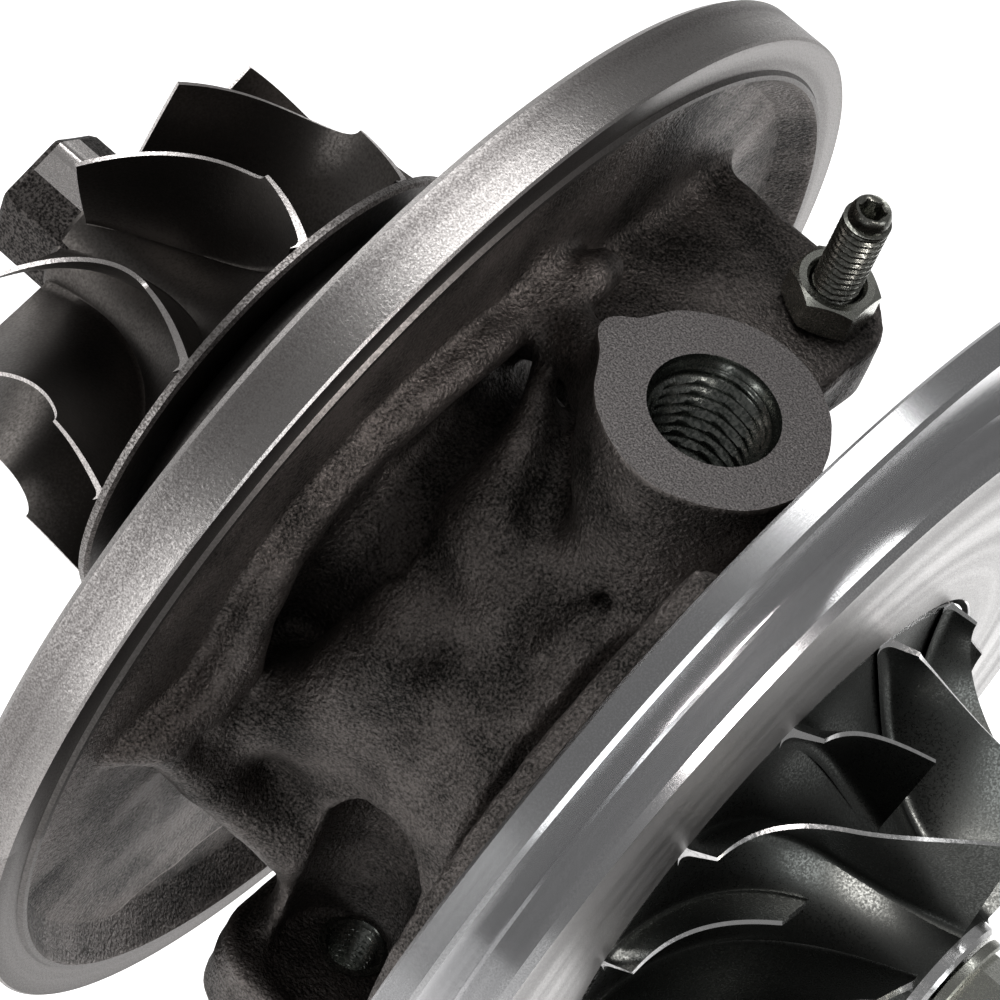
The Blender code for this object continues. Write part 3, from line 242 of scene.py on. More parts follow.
def make_grain():
    """Pebbles of one size with finer ones on them; 0.5 is the mean."""
    tree, given, result = shader_group("grain", {"Size": 0.6, "Fine": 0.4}, ["Height", "Speck"])
    place = add_node(tree, "ShaderNodeTexCoord").outputs["Object"]
    scale = maths(tree, "DIVIDE", 1.0 / MM, given["Size"])
    pebbles = noise(tree, place, scale, 4.0, 0.6)
    cells = add_node(
        tree, "ShaderNodeTexVoronoi", {"Vector": place, "Scale": scale}, feature="SMOOTH_F1",
    ).outputs["Distance"]
    fine = noise(tree, place, maths(tree, "MULTIPLY", scale, 1.8), 3.0)
    rough = maths(tree, "SUBTRACT", pebbles, maths(tree, "MULTIPLY", cells, 0.5))
    finer = maths(tree, "MULTIPLY", fine, given["Fine"])
    tree.links.new(maths(tree, "ADD", rough, finer), result["Height"])
    tree.links.new(fine, result["Speck"])
    return tree


def make_turned_marks():
    """Rings about the X axis, on faces and on cylinders."""
    tree, given, result = shader_group("turned_marks", {"Pitch": 0.25}, ["Rings", "Broad"])
    place = add_node(tree, "ShaderNodeTexCoord").outputs["Object"]
    split = add_node(tree, "ShaderNodeSeparateXYZ", {"Vector": place}).outputs
    square = maths(tree, "ADD", maths(tree, "POWER", split["Y"], 2.0), maths(tree, "POWER", split["Z"], 2.0))
    radius = maths(tree, "SQRT", square)
    angle = maths(tree, "MULTIPLY", maths(tree, "ARCTAN2", split["Z"], split["Y"]), 0.0004)
    rings_at = add_node(tree, "ShaderNodeCombineXYZ", {"X": split["X"], "Y": radius, "Z": angle}).outputs[0]
    scale = maths(tree, "DIVIDE", 1.0 / MM, given["Pitch"])
    tree.links.new(noise(tree, rings_at, scale, 3.0), result["Rings"])
    tree.links.new(noise(tree, rings_at, maths(tree, "MULTIPLY", scale, 0.08), 2.0), result["Broad"])
    return tree


def make_edge_wear():
    """1 on bulges, 0 on flats and in hollows."""
    tree, given, result = shader_group("edge_wear", {"From": 0.52, "To": 0.62}, ["Mask"])
    shape = add_node(tree, "ShaderNodeNewGeometry").outputs["Pointiness"]
    mask = add_node(
        tree, "ShaderNodeMapRange", {"Value": shape, "From Min": given["From"], "From Max": given["To"]},
    ).outputs[0]
    tree.links.new(mask, result["Mask"])
    return tree


GRAIN = make_grain()
TURNED_MARKS = make_turned_marks()
EDGE_WEAR = make_edge_wear()
print("shader groups:", GRAIN.name, TURNED_MARKS.name, EDGE_WEAR.name)

# %% [markdown]
# ## The finishes
#
# Every finish is a Principled BSDF, mostly metallic, with its colour between a dark and a light tone and a
# bump from the shared groups. What changes from one metal to the next is the size of the grain, how strong
# the rings are and how rough the surface is. Cast iron also has broad patches, where sand burnt on.

# %% Make the materials
TONE_SPREAD = (0.39, 0.61)


def average(tree, first, second):
    return maths(tree, "ADD", maths(tree, "MULTIPLY", first, 0.5), maths(tree, "MULTIPLY", second, 0.5))


def mixed_colour(tree, factor, dark, light):
    """A colour between two; each is three numbers, or a link to a colour."""
    dark, light = (c if isinstance(c, bpy.types.NodeSocket) else (*c, 1.0) for c in (dark, light))
    inputs = {"Factor": factor, "A": dark, "B": light}
    return add_node(tree, "ShaderNodeMix", inputs, data_type="RGBA").outputs["Result"]


def metal(name, dark, light, roughness, grain=0.6, grain_depth=0.02, fine=0.4, rings=0.0, ring_pitch=0.25,
          wear=None, metallic=1.0, rough_spread=0.08, patch=0.0):
    """A metal between two tones. The sizes and the depths of grain, rings and patches are in millimetres."""
    material, tree, shader = new_material(name)
    texture = add_node(tree, "ShaderNodeGroup", {"Size": grain, "Fine": fine}, node_tree=GRAIN)
    height = maths(tree, "MULTIPLY", texture.outputs["Height"], grain_depth * MM)
    tone = texture.outputs["Speck"]
    if rings:
        turned = add_node(tree, "ShaderNodeGroup", {"Pitch": ring_pitch}, node_tree=TURNED_MARKS)
        ring_height = maths(tree, "MULTIPLY", turned.outputs["Rings"], rings * MM)
        height = maths(tree, "ADD", height, ring_height)
        tone = average(tree, tone, turned.outputs["Broad"])
    if patch:
        place = add_node(tree, "ShaderNodeTexCoord").outputs["Object"]
        tone = average(tree, tone, noise(tree, place, 1.0 / (patch * MM), 3.0))
    low, high = TONE_SPREAD
    tone = add_node(tree, "ShaderNodeMapRange", {"Value": tone, "From Min": low, "From Max": high}).outputs[0]
    finish = mixed_colour(tree, tone, dark, light)
    if wear:
        worn = add_node(tree, "ShaderNodeGroup", node_tree=EDGE_WEAR)
        finish = mixed_colour(tree, worn.outputs["Mask"], finish, wear)
    gloss = blend_values(tree, tone, roughness + rough_spread, roughness - rough_spread)
    bump = add_node(tree, "ShaderNodeBump", {"Height": height, "Strength": 1.0, "Distance": 1.0})
    fill_inputs(tree, shader, {
        "Base Color": finish, "Metallic": metallic, "Roughness": gloss, "Normal": bump.outputs["Normal"],
    })
    return material


CAST_IRON = metal(
    "cast_iron", (0.018, 0.017, 0.015), (0.215, 0.192, 0.180), 0.46, grain=0.50, grain_depth=0.22, fine=0.6,
    wear=(0.42, 0.38, 0.36), metallic=0.80, patch=9.0,
)
COARSE_IRON = metal(
    "coarse_iron", (0.03, 0.028, 0.026), (0.30, 0.27, 0.25), 0.36, grain=0.70, grain_depth=0.30, fine=0.6,
)
MACHINED_IRON = metal(
    "machined_iron", (0.20, 0.187, 0.183), (0.46, 0.44, 0.43), 0.34, grain=0.34, grain_depth=0.022,
    rings=0.002, ring_pitch=0.3,
)
DARK_MACHINED_IRON = metal(
    "dark_machined_iron", (0.10, 0.094, 0.09), (0.17, 0.16, 0.155), 0.42, grain=0.4, grain_depth=0.010,
    rings=0.010, ring_pitch=0.3,
)
INLET_FACE_IRON = metal(
    "inlet_face_iron", (0.10, 0.093, 0.092), (0.27, 0.253, 0.248), 0.42, grain=0.34, grain_depth=0.022,
)
THREAD_STEEL = metal("thread_steel", (0.12, 0.13, 0.12), (0.26, 0.27, 0.25), 0.26, grain_depth=0.004)
BACKPLATE_ALUMINIUM = metal(
    "backplate_aluminium", (0.55, 0.55, 0.56), (0.78, 0.78, 0.79), 0.16, grain=0.3, grain_depth=0.001,
    rings=0.0025, ring_pitch=0.35, rough_spread=0.05,
)
DIFFUSER_ALUMINIUM = metal(
    "diffuser_aluminium", (0.26, 0.255, 0.253), (0.37, 0.363, 0.358), 0.40, grain=0.32, grain_depth=0.014,
    rings=0.003, ring_pitch=0.3,
)
TURBINE_ALLOY = metal(
    "turbine_alloy", (0.075, 0.068, 0.063), (0.15, 0.138, 0.13), 0.40, grain=0.5, grain_depth=0.010,
    patch=14.0,
)
TURBINE_RIM_ALLOY = metal(
    "turbine_rim_alloy", (0.13, 0.12, 0.115), (0.36, 0.34, 0.33), 0.42, grain=0.4, grain_depth=0.03,
)
HEAD_ALLOY = metal("head_alloy", (0.02, 0.018, 0.017), (0.11, 0.10, 0.095), 0.55, grain=0.5, grain_depth=0.08)
GROUND_ALLOY = metal(
    "ground_alloy", (0.50, 0.47, 0.46), (0.85, 0.81, 0.79), 0.26, grain=0.4, grain_depth=0.01,
)
# This near black tone is painted shade, for the passages and the blades' faces of the milled wheel.
WHEEL_ALUMINIUM_PAINTED_SHADE = metal(
    "wheel_aluminium", (0.060, 0.063, 0.060), (0.11, 0.115, 0.11), 0.34, grain=0.4, grain_depth=0.006,
)
MILLED_ALUMINIUM = metal("milled_aluminium", (0.72, 0.72, 0.72), (0.92, 0.92, 0.92), 0.20, grain_depth=0.002)
BRIGHT_STEEL = metal(
    "bright_steel", (0.36, 0.37, 0.33), (0.52, 0.52, 0.48), 0.26, grain=0.4, grain_depth=0.004,
)
SCREW_STEEL = metal(
    "screw_steel", (0.17, 0.175, 0.155), (0.34, 0.34, 0.31), 0.27, grain=0.4, grain_depth=0.008,
)
# Sheet steel is kept near black as painted shade, for the deep shadowed gap behind the turbine wheel where
# the heat shield sits.
SHEET_STEEL_PAINTED_SHADE = metal(
    "sheet_steel_painted_shade", (0.05, 0.047, 0.045), (0.11, 0.104, 0.10), 0.46, grain=0.5, grain_depth=0.006, rings=0.003,
)
SPRING_STEEL = metal("spring_steel", (0.14, 0.14, 0.15), (0.24, 0.24, 0.25), 0.30, grain_depth=0.004)
BRONZE = metal("bearing_bronze", (0.42, 0.27, 0.11), (0.62, 0.44, 0.20), 0.28, grain_depth=0.004, rings=0.004)
RUBBER = metal("black_rubber", (0.012, 0.012, 0.012), (0.03, 0.03, 0.03), 0.62, metallic=0.0)
print("materials:", len(bpy.data.materials))

# %% [markdown]
# ## The pieces that stay
#
# Inside the housing sit the bearings, rings and sleeves. Their solids have the right shape already, and
# little of them shows, so each keeps its node and only takes a proper finish.

# %% Finish the inner nodes
INNER_FINISHES = (
    (SPRING_STEEL, [
        "backplate_screw_1", "backplate_screw_2", "backplate_screw_3", "backplate_screw_4",
        "turbine_seal_ring", "compressor_seal_ring", "retaining_ring_outer_turbine",
        "retaining_ring_inner_turbine", "retaining_ring_inner_compressor", "thrust_bearing_pin_left",
        "thrust_bearing_pin_right",
    ]),
    (RUBBER, ["backplate_seal_ring"]),
    (BRONZE, ["journal_bearing_turbine", "journal_bearing_compressor", "thrust_bearing"]),
    (SHEET_STEEL_PAINTED_SHADE, ["oil_deflector"]),
    (BRIGHT_STEEL, ["thrust_collar", "oil_flinger"]),
)
for finish, node_names in INNER_FINISHES:
    for node_name in node_names:
        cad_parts[node_name].data.materials.clear()
        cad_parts[node_name].data.materials.append(finish)
print("inner nodes finished:", sum(len(node_names) for _, node_names in INNER_FINISHES))

# %% [markdown]
# ## Turned pieces
#
# Most of the object was made on a lathe. A turned piece is a profile of (x, radius) points, joined end to
# end and swept about the shaft. Smooth shading hides the facets, and edges sharper than a given angle stay
# crisp.

# %% Helpers for meshes
FINE_TURN = 256
SAME_POINT = 0.002
ON_AXIS = 0.0001


def mesh_of(name, points, faces, materials, tints=None):
    """A mesh from points in millimetres; tints gives each face's material."""
    mesh = bpy.data.meshes.new(name)
    mesh.from_pydata((np.asarray(points, float) * MM).tolist(), [], faces)
    if tints is not None:
        mesh.polygons.foreach_set("material_index", tints)
    for material in materials:
        mesh.materials.append(material)
    return mesh


def object_of(mesh):
    obj = bpy.data.objects.new(mesh.name, mesh)
    bpy.context.scene.collection.objects.link(obj)
    return obj


def face_outwards(mesh, join=False):
    """Turns every face outwards, and joins points that coincide first if join is set."""
    bm = bmesh.new()
    bm.from_mesh(mesh)
    if join:
        bmesh.ops.remove_doubles(bm, verts=bm.verts, dist=SAME_POINT * MM)
    bmesh.ops.recalc_face_normals(bm, faces=bm.faces)
    bm.to_mesh(mesh)
    bm.free()


def make_piece(name, points, faces, materials, body, replaced=(), tints=None, sharp=30.0):
    """A finished piece from points in millimetres."""
    mesh = mesh_of(name, points, faces, materials, tints)
    face_outwards(mesh, join=True)
    settle(object_of(mesh), body, replaced, sharp)


def settle(obj, body, replaced=(), sharp=30.0):
    """Shades a finished piece and tells the frame what it rides on and replaces."""
    obj.data.shade_smooth()
    obj.data.set_sharp_from_angle(angle=math.radians(sharp))
    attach(obj, body)
    if replaced:
        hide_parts(*replaced)
    print(obj.name + ":", len(obj.data.polygons), "faces")


def grid_faces(rows, columns, wrap_rows=False, wrap_columns=False):
    """Quads between neighbours of a grid of points that is stored row after row."""
    faces = []
    for i in range(rows if wrap_rows else rows - 1):
        for j in range(columns if wrap_columns else columns - 1):
            k, m = (i + 1) % rows, (j + 1) % columns
            faces.append((i * columns + j, i * columns + m, k * columns + m, k * columns + j))
    return faces


def turn_angles(count):
    return np.arange(count) * 2 * math.pi / count


def round_row(radius, height, count):
    """Points round the Z axis; radius and height are numbers, or one value for each point."""
    radius, height = np.broadcast_to(radius, count), np.broadcast_to(height, count)
    angles = turn_angles(count)
    return np.column_stack([radius * np.cos(angles), radius * np.sin(angles), height])


def round_rows(outline, count):
    """Rows round the Z axis from (radius, height) pairs."""
    return [round_row(radius, height, count) for radius, height in outline]


def hexagon_radius(across_flats, count):
    """How far the outline of a hexagon lies from its middle, all the way round."""
    around = np.abs((turn_angles(count) % (math.pi / 3)) - math.pi / 6)
    return across_flats / 2 / np.cos(math.pi / 6 - around)


def along_shaft(rows):
    """Rows made about Z, turned so that they lie about X."""
    return [row[:, [2, 0, 1]] for row in rows]


def revolve(profile):
    """Points and faces of a closed profile swept about X."""
    rows = along_shaft([round_row(r, x, FINE_TURN) for x, r in profile])
    return np.concatenate(rows), grid_faces(len(profile), FINE_TURN, wrap_rows=True, wrap_columns=True)


def row_tints(faces, tint_of_row):
    """The material of each face of a swept profile, from that of each of its rows."""
    return [tint_of_row[i // FINE_TURN] for i in range(len(faces))]


def round_corners(profile, radius, steps=3):
    """A closed profile with each corner rounded, by less than half of the shorter side next to it."""
    points = [Vector(p) for p in profile]
    rounded = []
    for i, corner in enumerate(points):
        before, after = points[i - 1], points[(i + 1) % len(points)]
        into, out = before - corner, after - corner
        size = min(radius, into.length * 0.45, out.length * 0.45)
        first, last = corner + into.normalized() * size, corner + out.normalized() * size
        for step in range(steps + 1):
            t = step / steps
            rounded.append(tuple(first * (1 - t) ** 2 + corner * 2 * t * (1 - t) + last * t * t))
    return rounded


def turned_piece(name, profile, material, replaced, rounding):
    points, faces = revolve(round_corners(profile, rounding))
    make_piece(name, points, faces, [material], "housing", replaced)


print("a full turn has", FINE_TURN, "facets")

# %% [markdown]
# ## The compressor backplate
#
# The backplate is a turned aluminium disc. Its rim is clamped under the compressor cover, the spigot
# centres the cover, and the flat face in front of it is one wall of the diffuser. The rim and the spigot
# are bright and the diffuser face is duller, so the faces of this one piece have two finishes.

# %% Turn the backplate
PLATE_BOSS_BACK, PLATE_FRONT, PLATE_RADIUS = reach("compressor_backplate")
PLATE_BACK = PLATE_BOSS_BACK + 4.4
PLATE_STEP = PLATE_BACK + 3.2
SPIGOT_RADIUS = 51.2
RECESS_RADIUS = 28.3
RECESS_DEPTH = 2.3
PLATE_BORE = 8.5
PLATE_BOSS_RADIUS = 19.2

plate_profile = [
    (PLATE_BOSS_BACK, PLATE_BORE),
    (PLATE_BOSS_BACK, PLATE_BOSS_RADIUS),
    (PLATE_BACK - 0.6, PLATE_BOSS_RADIUS),
    (PLATE_BACK, PLATE_BOSS_RADIUS + 0.6),
    (PLATE_BACK, PLATE_RADIUS - 0.35),
    (PLATE_BACK + 0.35, PLATE_RADIUS),
    (PLATE_STEP - 0.45, PLATE_RADIUS),
    (PLATE_STEP, PLATE_RADIUS - 0.45),
    (PLATE_STEP, SPIGOT_RADIUS + 0.5),
    (PLATE_STEP + 0.25, SPIGOT_RADIUS),
    (PLATE_FRONT - 0.9, SPIGOT_RADIUS),
    (PLATE_FRONT, SPIGOT_RADIUS - 0.55),
    (PLATE_FRONT, RECESS_RADIUS + 0.15),
    (PLATE_FRONT - 0.15, RECESS_RADIUS),
    (PLATE_FRONT - RECESS_DEPTH, RECESS_RADIUS),
    (PLATE_FRONT - RECESS_DEPTH, PLATE_BORE),
]
plate_points, plate_faces = revolve(plate_profile)
face_row = plate_profile.index((PLATE_FRONT, SPIGOT_RADIUS - 0.55))
dull_rows = (face_row, face_row + 2, face_row + 3)
plate_tints = row_tints(plate_faces, [int(row in dull_rows) for row in range(len(plate_profile))])
make_piece(
    "compressor_backplate_turned", plate_points, plate_faces, [BACKPLATE_ALUMINIUM, DIFFUSER_ALUMINIUM],
    "housing", ["compressor_backplate"], plate_tints, sharp=20.0,
)

# %% [markdown]
# ## The blades
#
# A blade is a curved sheet with a little thickness and a fillet at its foot. Each wheel's rule says where
# the middle of the sheet runs: u goes along the gas path and v from the hub to the shroud. The sheet is
# thickened along its own normal, and near the hub the thickness grows as a quarter circle, which is the
# fillet. The edges that were ground or milled get the second, bright material. One blade is enough, because
# a Geometry Nodes tree sets the others round the shaft.

# %% Helpers for blades
BLADE_FOOT_SHARE = 0.30


def make_blade(name, station, reach_u, thickness, foot, fillet, along, across, materials):
    """One blade as an object. foot is its extra thickness at the hub, fillet its fillet radius."""
    u = np.linspace(0.0, 1.0, along + 1) * reach_u
    half_rows = across // 2 + 1
    v = np.concatenate([
        np.linspace(0.0, BLADE_FOOT_SHARE, half_rows), np.linspace(BLADE_FOOT_SHARE, 1.0, half_rows)[1:],
    ])
    grid = np.array([[station(a, b) for b in v] for a in u])
    x, r, angle = grid[..., 0], grid[..., 1], np.radians(grid[..., 2])
    middle = np.stack([x, r * np.cos(angle), r * np.sin(angle)], axis=-1)
    down_u = np.gradient(middle, axis=0)
    down_v = np.gradient(middle, axis=1)
    normal = np.cross(down_u, down_v)
    normal /= np.linalg.norm(normal, axis=-1, keepdims=True)
    height = np.linalg.norm(middle - middle[:, :1], axis=-1)
    sunk = np.clip(1.0 - height / fillet, 0.0, 1.0)
    flare = fillet * (1.0 - np.sqrt(np.clip(1.0 - sunk * sunk, 0.0, 1.0)))
    full = height.max(axis=1, keepdims=True)
    half = thickness / 2 + foot / 2 * (1.0 - height / full) + flare
    first = middle + normal * half[..., None]
    last = middle - normal * half[..., None]
    rows, columns = first.shape[:2]
    points = np.concatenate([first.reshape(-1, 3), last.reshape(-1, 3)])
    offset = rows * columns
    faces = grid_faces(rows, columns)
    tints = [0] * len(faces)
    faces += [tuple(offset + k for k in face[::-1]) for face in faces]
    tints += [0] * len(tints)

    edges = (
        (range(columns - 1, rows * columns, columns), 1), (range(columns), 1),
        (range((rows - 1) * columns, rows * columns), 1), (range(0, rows * columns, columns), 0),
    )
    for line, tint in edges:
        for a, b in zip(line, line[1:]):
            faces.append((a, b, offset + b, offset + a))
            tints.append(tint)
    mesh = mesh_of(name, points, faces, materials, tints)
    face_outwards(mesh)
    return object_of(mesh)


def make_blade_ring():
    """A Geometry Nodes tree that sets copies of the object's own mesh round the X axis."""
    tree = bpy.data.node_groups.new("blade_ring", "GeometryNodeTree")
    sockets = {"Blade": "Geometry", "Count": "Int", "Phase": "Float", "Passage Finish": "Material"}
    for label, kind in sockets.items():
        tree.interface.new_socket(label, in_out="INPUT", socket_type="NodeSocket" + kind)
    tree.interface.new_socket("Blades", in_out="OUTPUT", socket_type="NodeSocketGeometry")
    given = tree.nodes.new("NodeGroupInput").outputs
    result = tree.nodes.new("NodeGroupOutput").inputs
    points = add_node(tree, "GeometryNodePoints", {"Count": given["Count"]}).outputs[0]
    index = add_node(tree, "GeometryNodeInputIndex").outputs[0]
    step = maths(tree, "DIVIDE", 2 * math.pi, given["Count"])
    turn = maths(tree, "MULTIPLY_ADD", index, step, maths(tree, "RADIANS", given["Phase"]))
    euler = add_node(tree, "ShaderNodeCombineXYZ", {"X": turn}).outputs[0]
    rotation = add_node(tree, "FunctionNodeEulerToRotation", {"Euler": euler}).outputs[0]
    copies = add_node(
        tree, "GeometryNodeInstanceOnPoints",
        {"Points": points, "Instance": given["Blade"], "Rotation": rotation},
    ).outputs[0]
    real = add_node(tree, "GeometryNodeRealizeInstances", {"Geometry": copies}).outputs[0]
    finish = add_node(tree, "GeometryNodeInputMaterialIndex").outputs[0]
    passage = add_node(
        tree, "FunctionNodeCompare", {"A": finish, "B": 0}, data_type="INT", operation="EQUAL",
    ).outputs[0]
    finished = add_node(
        tree, "GeometryNodeSetMaterial",
        {"Geometry": real, "Selection": passage, "Material": given["Passage Finish"]},
    ).outputs[0]
    tree.links.new(finished, result["Blades"])
    return tree


BLADE_RING = make_blade_ring()


def ring_of_blades(blade, count, phase, passage):
    """A full ring as an object; the single blade is removed."""
    modifier = blade.modifiers.new("blade ring", "NODES")
    modifier.node_group = BLADE_RING
    values = {"Count": count, "Phase": float(phase), "Passage Finish": passage}
    for item in BLADE_RING.interface.items_tree:
        if item.name in values:
            modifier[item.identifier] = values[item.name]
    evaluated = blade.evaluated_get(bpy.context.evaluated_depsgraph_get())
    mesh = bpy.data.meshes.new_from_object(evaluated)
    mesh.name = blade.name
    bpy.data.objects.remove(blade)
    return object_of(mesh)


print("blade ring tree:", len(BLADE_RING.nodes), "nodes")

# %% [markdown]
# ## The turbine wheel
#
# The exhaust drives this wheel. It is an investment casting with ten blades, whose fibres run straight out
# from the shaft, so a blade's angle depends only on how far along the shaft a point lies. Only the blades'
# outer edges are ground, and they shine against the dark casting.

# %% Make the turbine wheel
TURBINE_BLADES = 10
TURBINE_BACK = -20.4
TURBINE_DISC_RADIUS = 26.6
TURBINE_DISC_FRONT = TURBINE_BACK - 1.0
TURBINE_TIP_RADIUS = 26.0
TURBINE_INLET_WIDTH = 7.8
TURBINE_EXIT_X = -43.8
TURBINE_EXIT_RADIUS = 22.7
TURBINE_HUB_END = -45.2
TURBINE_HUB_END_RADIUS = 7.4
TURBINE_HEAD_LENGTH = 8.0
TURBINE_HEAD_RADIUS = 7.6
TURBINE_TIP_ANGLE = 92.4
TURBINE_CAMBER_LOW = -31.0
TURBINE_CURVES = (0.076, 0.156)


def ellipse_point(start, end, t):
    """A point of a quarter ellipse that leaves start along the radius and reaches end along X."""
    angle = math.pi / 2 * t
    return (
        end[0] - (end[0] - start[0]) * math.cos(angle),
        start[1] - (start[1] - end[1]) * math.sin(angle),
    )


TURBINE_HUB_START = (TURBINE_DISC_FRONT, TURBINE_DISC_RADIUS)
TURBINE_HUB_STOP = (TURBINE_HUB_END, TURBINE_HUB_END_RADIUS)


def turbine_station(u, v):
    foot_start = (TURBINE_DISC_FRONT + 0.15, TURBINE_TIP_RADIUS)
    foot_end = (TURBINE_HUB_END + 0.5, TURBINE_HUB_END_RADIUS - 0.4)
    tip_start = (TURBINE_DISC_FRONT - TURBINE_INLET_WIDTH, TURBINE_TIP_RADIUS)
    tip_end = (TURBINE_EXIT_X, TURBINE_EXIT_RADIUS)
    hub_x, hub_r = ellipse_point(foot_start, foot_end, u)
    shroud_x, shroud_r = ellipse_point(tip_start, tip_end, u)
    x = hub_x + (shroud_x - hub_x) * v
    past = x - TURBINE_CAMBER_LOW
    curve = TURBINE_CURVES[0] if past > 0 else TURBINE_CURVES[1]
    return x, hub_r + (shroud_r - hub_r) * v, curve * past * past


def make_turbine_wheel():
    shank = 7.9
    profile = [
        (-13.0, 3.0), (-13.0, shank), (-15.5, shank), (-15.5, 6.3), (-17.5, 6.3), (-17.5, shank),
        (TURBINE_BACK + 1.2, shank), (TURBINE_BACK, shank + 1.4),
        (TURBINE_BACK, TURBINE_DISC_RADIUS - 0.4), (TURBINE_BACK - 0.3, TURBINE_DISC_RADIUS),
    ]
    profile += [ellipse_point(TURBINE_HUB_START, TURBINE_HUB_STOP, t) for t in np.linspace(0, 1, 25)]
    profile += [(TURBINE_HUB_END - 0.5, TURBINE_HUB_END_RADIUS - 0.4), (TURBINE_HUB_END - 0.5, 3.0)]
    points, faces = revolve(profile)
    rim = profile.index((TURBINE_BACK, TURBINE_DISC_RADIUS - 0.4))
    tints = row_tints(faces, [int(row in (rim, rim + 1)) for row in range(len(profile))])
    make_piece(
        "turbine_hub", points, faces, [TURBINE_ALLOY, TURBINE_RIM_ALLOY], "rotor",
        ["turbine_wheel"], tints, sharp=25.0,
    )
    along, across = ((40, 20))
    blade = make_blade(
        "turbine_blades", turbine_station, 1.0, 0.42, 0.45, 1.0, along, across, [TURBINE_ALLOY, GROUND_ALLOY],
    )
    blades = ring_of_blades(blade, TURBINE_BLADES, TURBINE_TIP_ANGLE, TURBINE_ALLOY)
    settle(blades, "rotor", ["turbine_wheel"], 40.0)
    make_drive_head()


def make_drive_head():
    """The hexagon that holds the wheel while the shaft nut is tightened."""
    start, end = TURBINE_HUB_END + 1.0, TURBINE_HUB_END - TURBINE_HEAD_LENGTH
    turn = 96
    flat_to_flat = TURBINE_HEAD_RADIUS * math.cos(math.pi / 6) * 2
    hexagon = np.minimum(hexagon_radius(flat_to_flat, turn), TURBINE_HEAD_RADIUS * 0.985)
    rows = round_rows((
        (hexagon, start), (hexagon, end + 0.8), (hexagon - 0.3, end + 0.2), (hexagon - 0.9, end),
        (2.4, end), (1.0, end + 1.6), (ON_AXIS, end + 2.6), (ON_AXIS, start),
    ), turn)
    faces = grid_faces(len(rows), turn, wrap_rows=True, wrap_columns=True)
    ground = range(turn // 6, turn // 3)
    tints = [int(i in ground) for i in range(len(faces))]
    make_piece(
        "turbine_drive_head", np.concatenate(along_shaft(rows)), faces, [HEAD_ALLOY, GROUND_ALLOY], "rotor",
        ["turbine_wheel"], tints, sharp=25.0,
    )


make_turbine_wheel()

# %% [markdown]
# ## The compressor wheel
#
# This wheel was milled from a solid block. Full blades and shorter splitters stand alternately on a flared
# hub, and lean back against the direction of rotation. The passages and the blades' faces are painted near
# black as painted shade, and the tips, the shroud edges and the leading edges keep the bright aluminium.

# %% Make the compressor wheel
COMPRESSOR_PAIRS = 6
COMPRESSOR_RADIUS = 27.7
COMPRESSOR_RIM_X = 44.1
COMPRESSOR_BACK = COMPRESSOR_RIM_X - 1.4
COMPRESSOR_TIP_HEIGHT = 3.0
COMPRESSOR_EYE = (65.2, 19.8)
COMPRESSOR_NOSE = (65.5, 6.8)
COMPRESSOR_NOSE_END = 67.0
COMPRESSOR_TIP_ANGLE = 78.3
COMPRESSOR_RAKE = 3.6
COMPRESSOR_WRAP = (40.3, 85.4, 0.59)
COMPRESSOR_EDGE_POWER = 2.3
SPLITTER_SHARE = 0.62


def compressor_station(u, v):
    hub_x, hub_r = ellipse_point(
        (COMPRESSOR_RIM_X - 0.3, COMPRESSOR_RADIUS), (COMPRESSOR_NOSE[0] - 0.3, COMPRESSOR_NOSE[1] - 0.4), u,
    )
    angle = math.pi / 2 * u
    power = 2 / COMPRESSOR_EDGE_POWER
    rim = COMPRESSOR_RIM_X + COMPRESSOR_TIP_HEIGHT
    shroud_x = COMPRESSOR_EYE[0] - (COMPRESSOR_EYE[0] - rim) * math.cos(angle) ** power
    shroud_r = COMPRESSOR_RADIUS - (COMPRESSOR_RADIUS - COMPRESSOR_EYE[1]) * math.sin(angle) ** power
    wrap, eye_wrap, eye_start = COMPRESSOR_WRAP
    turn = wrap * u + eye_wrap * max(0.0, u - eye_start) ** 2
    lean = COMPRESSOR_RAKE * (1 - v) * (1 - u)
    return hub_x + (shroud_x - hub_x) * v, hub_r + (shroud_r - hub_r) * v, lean - turn


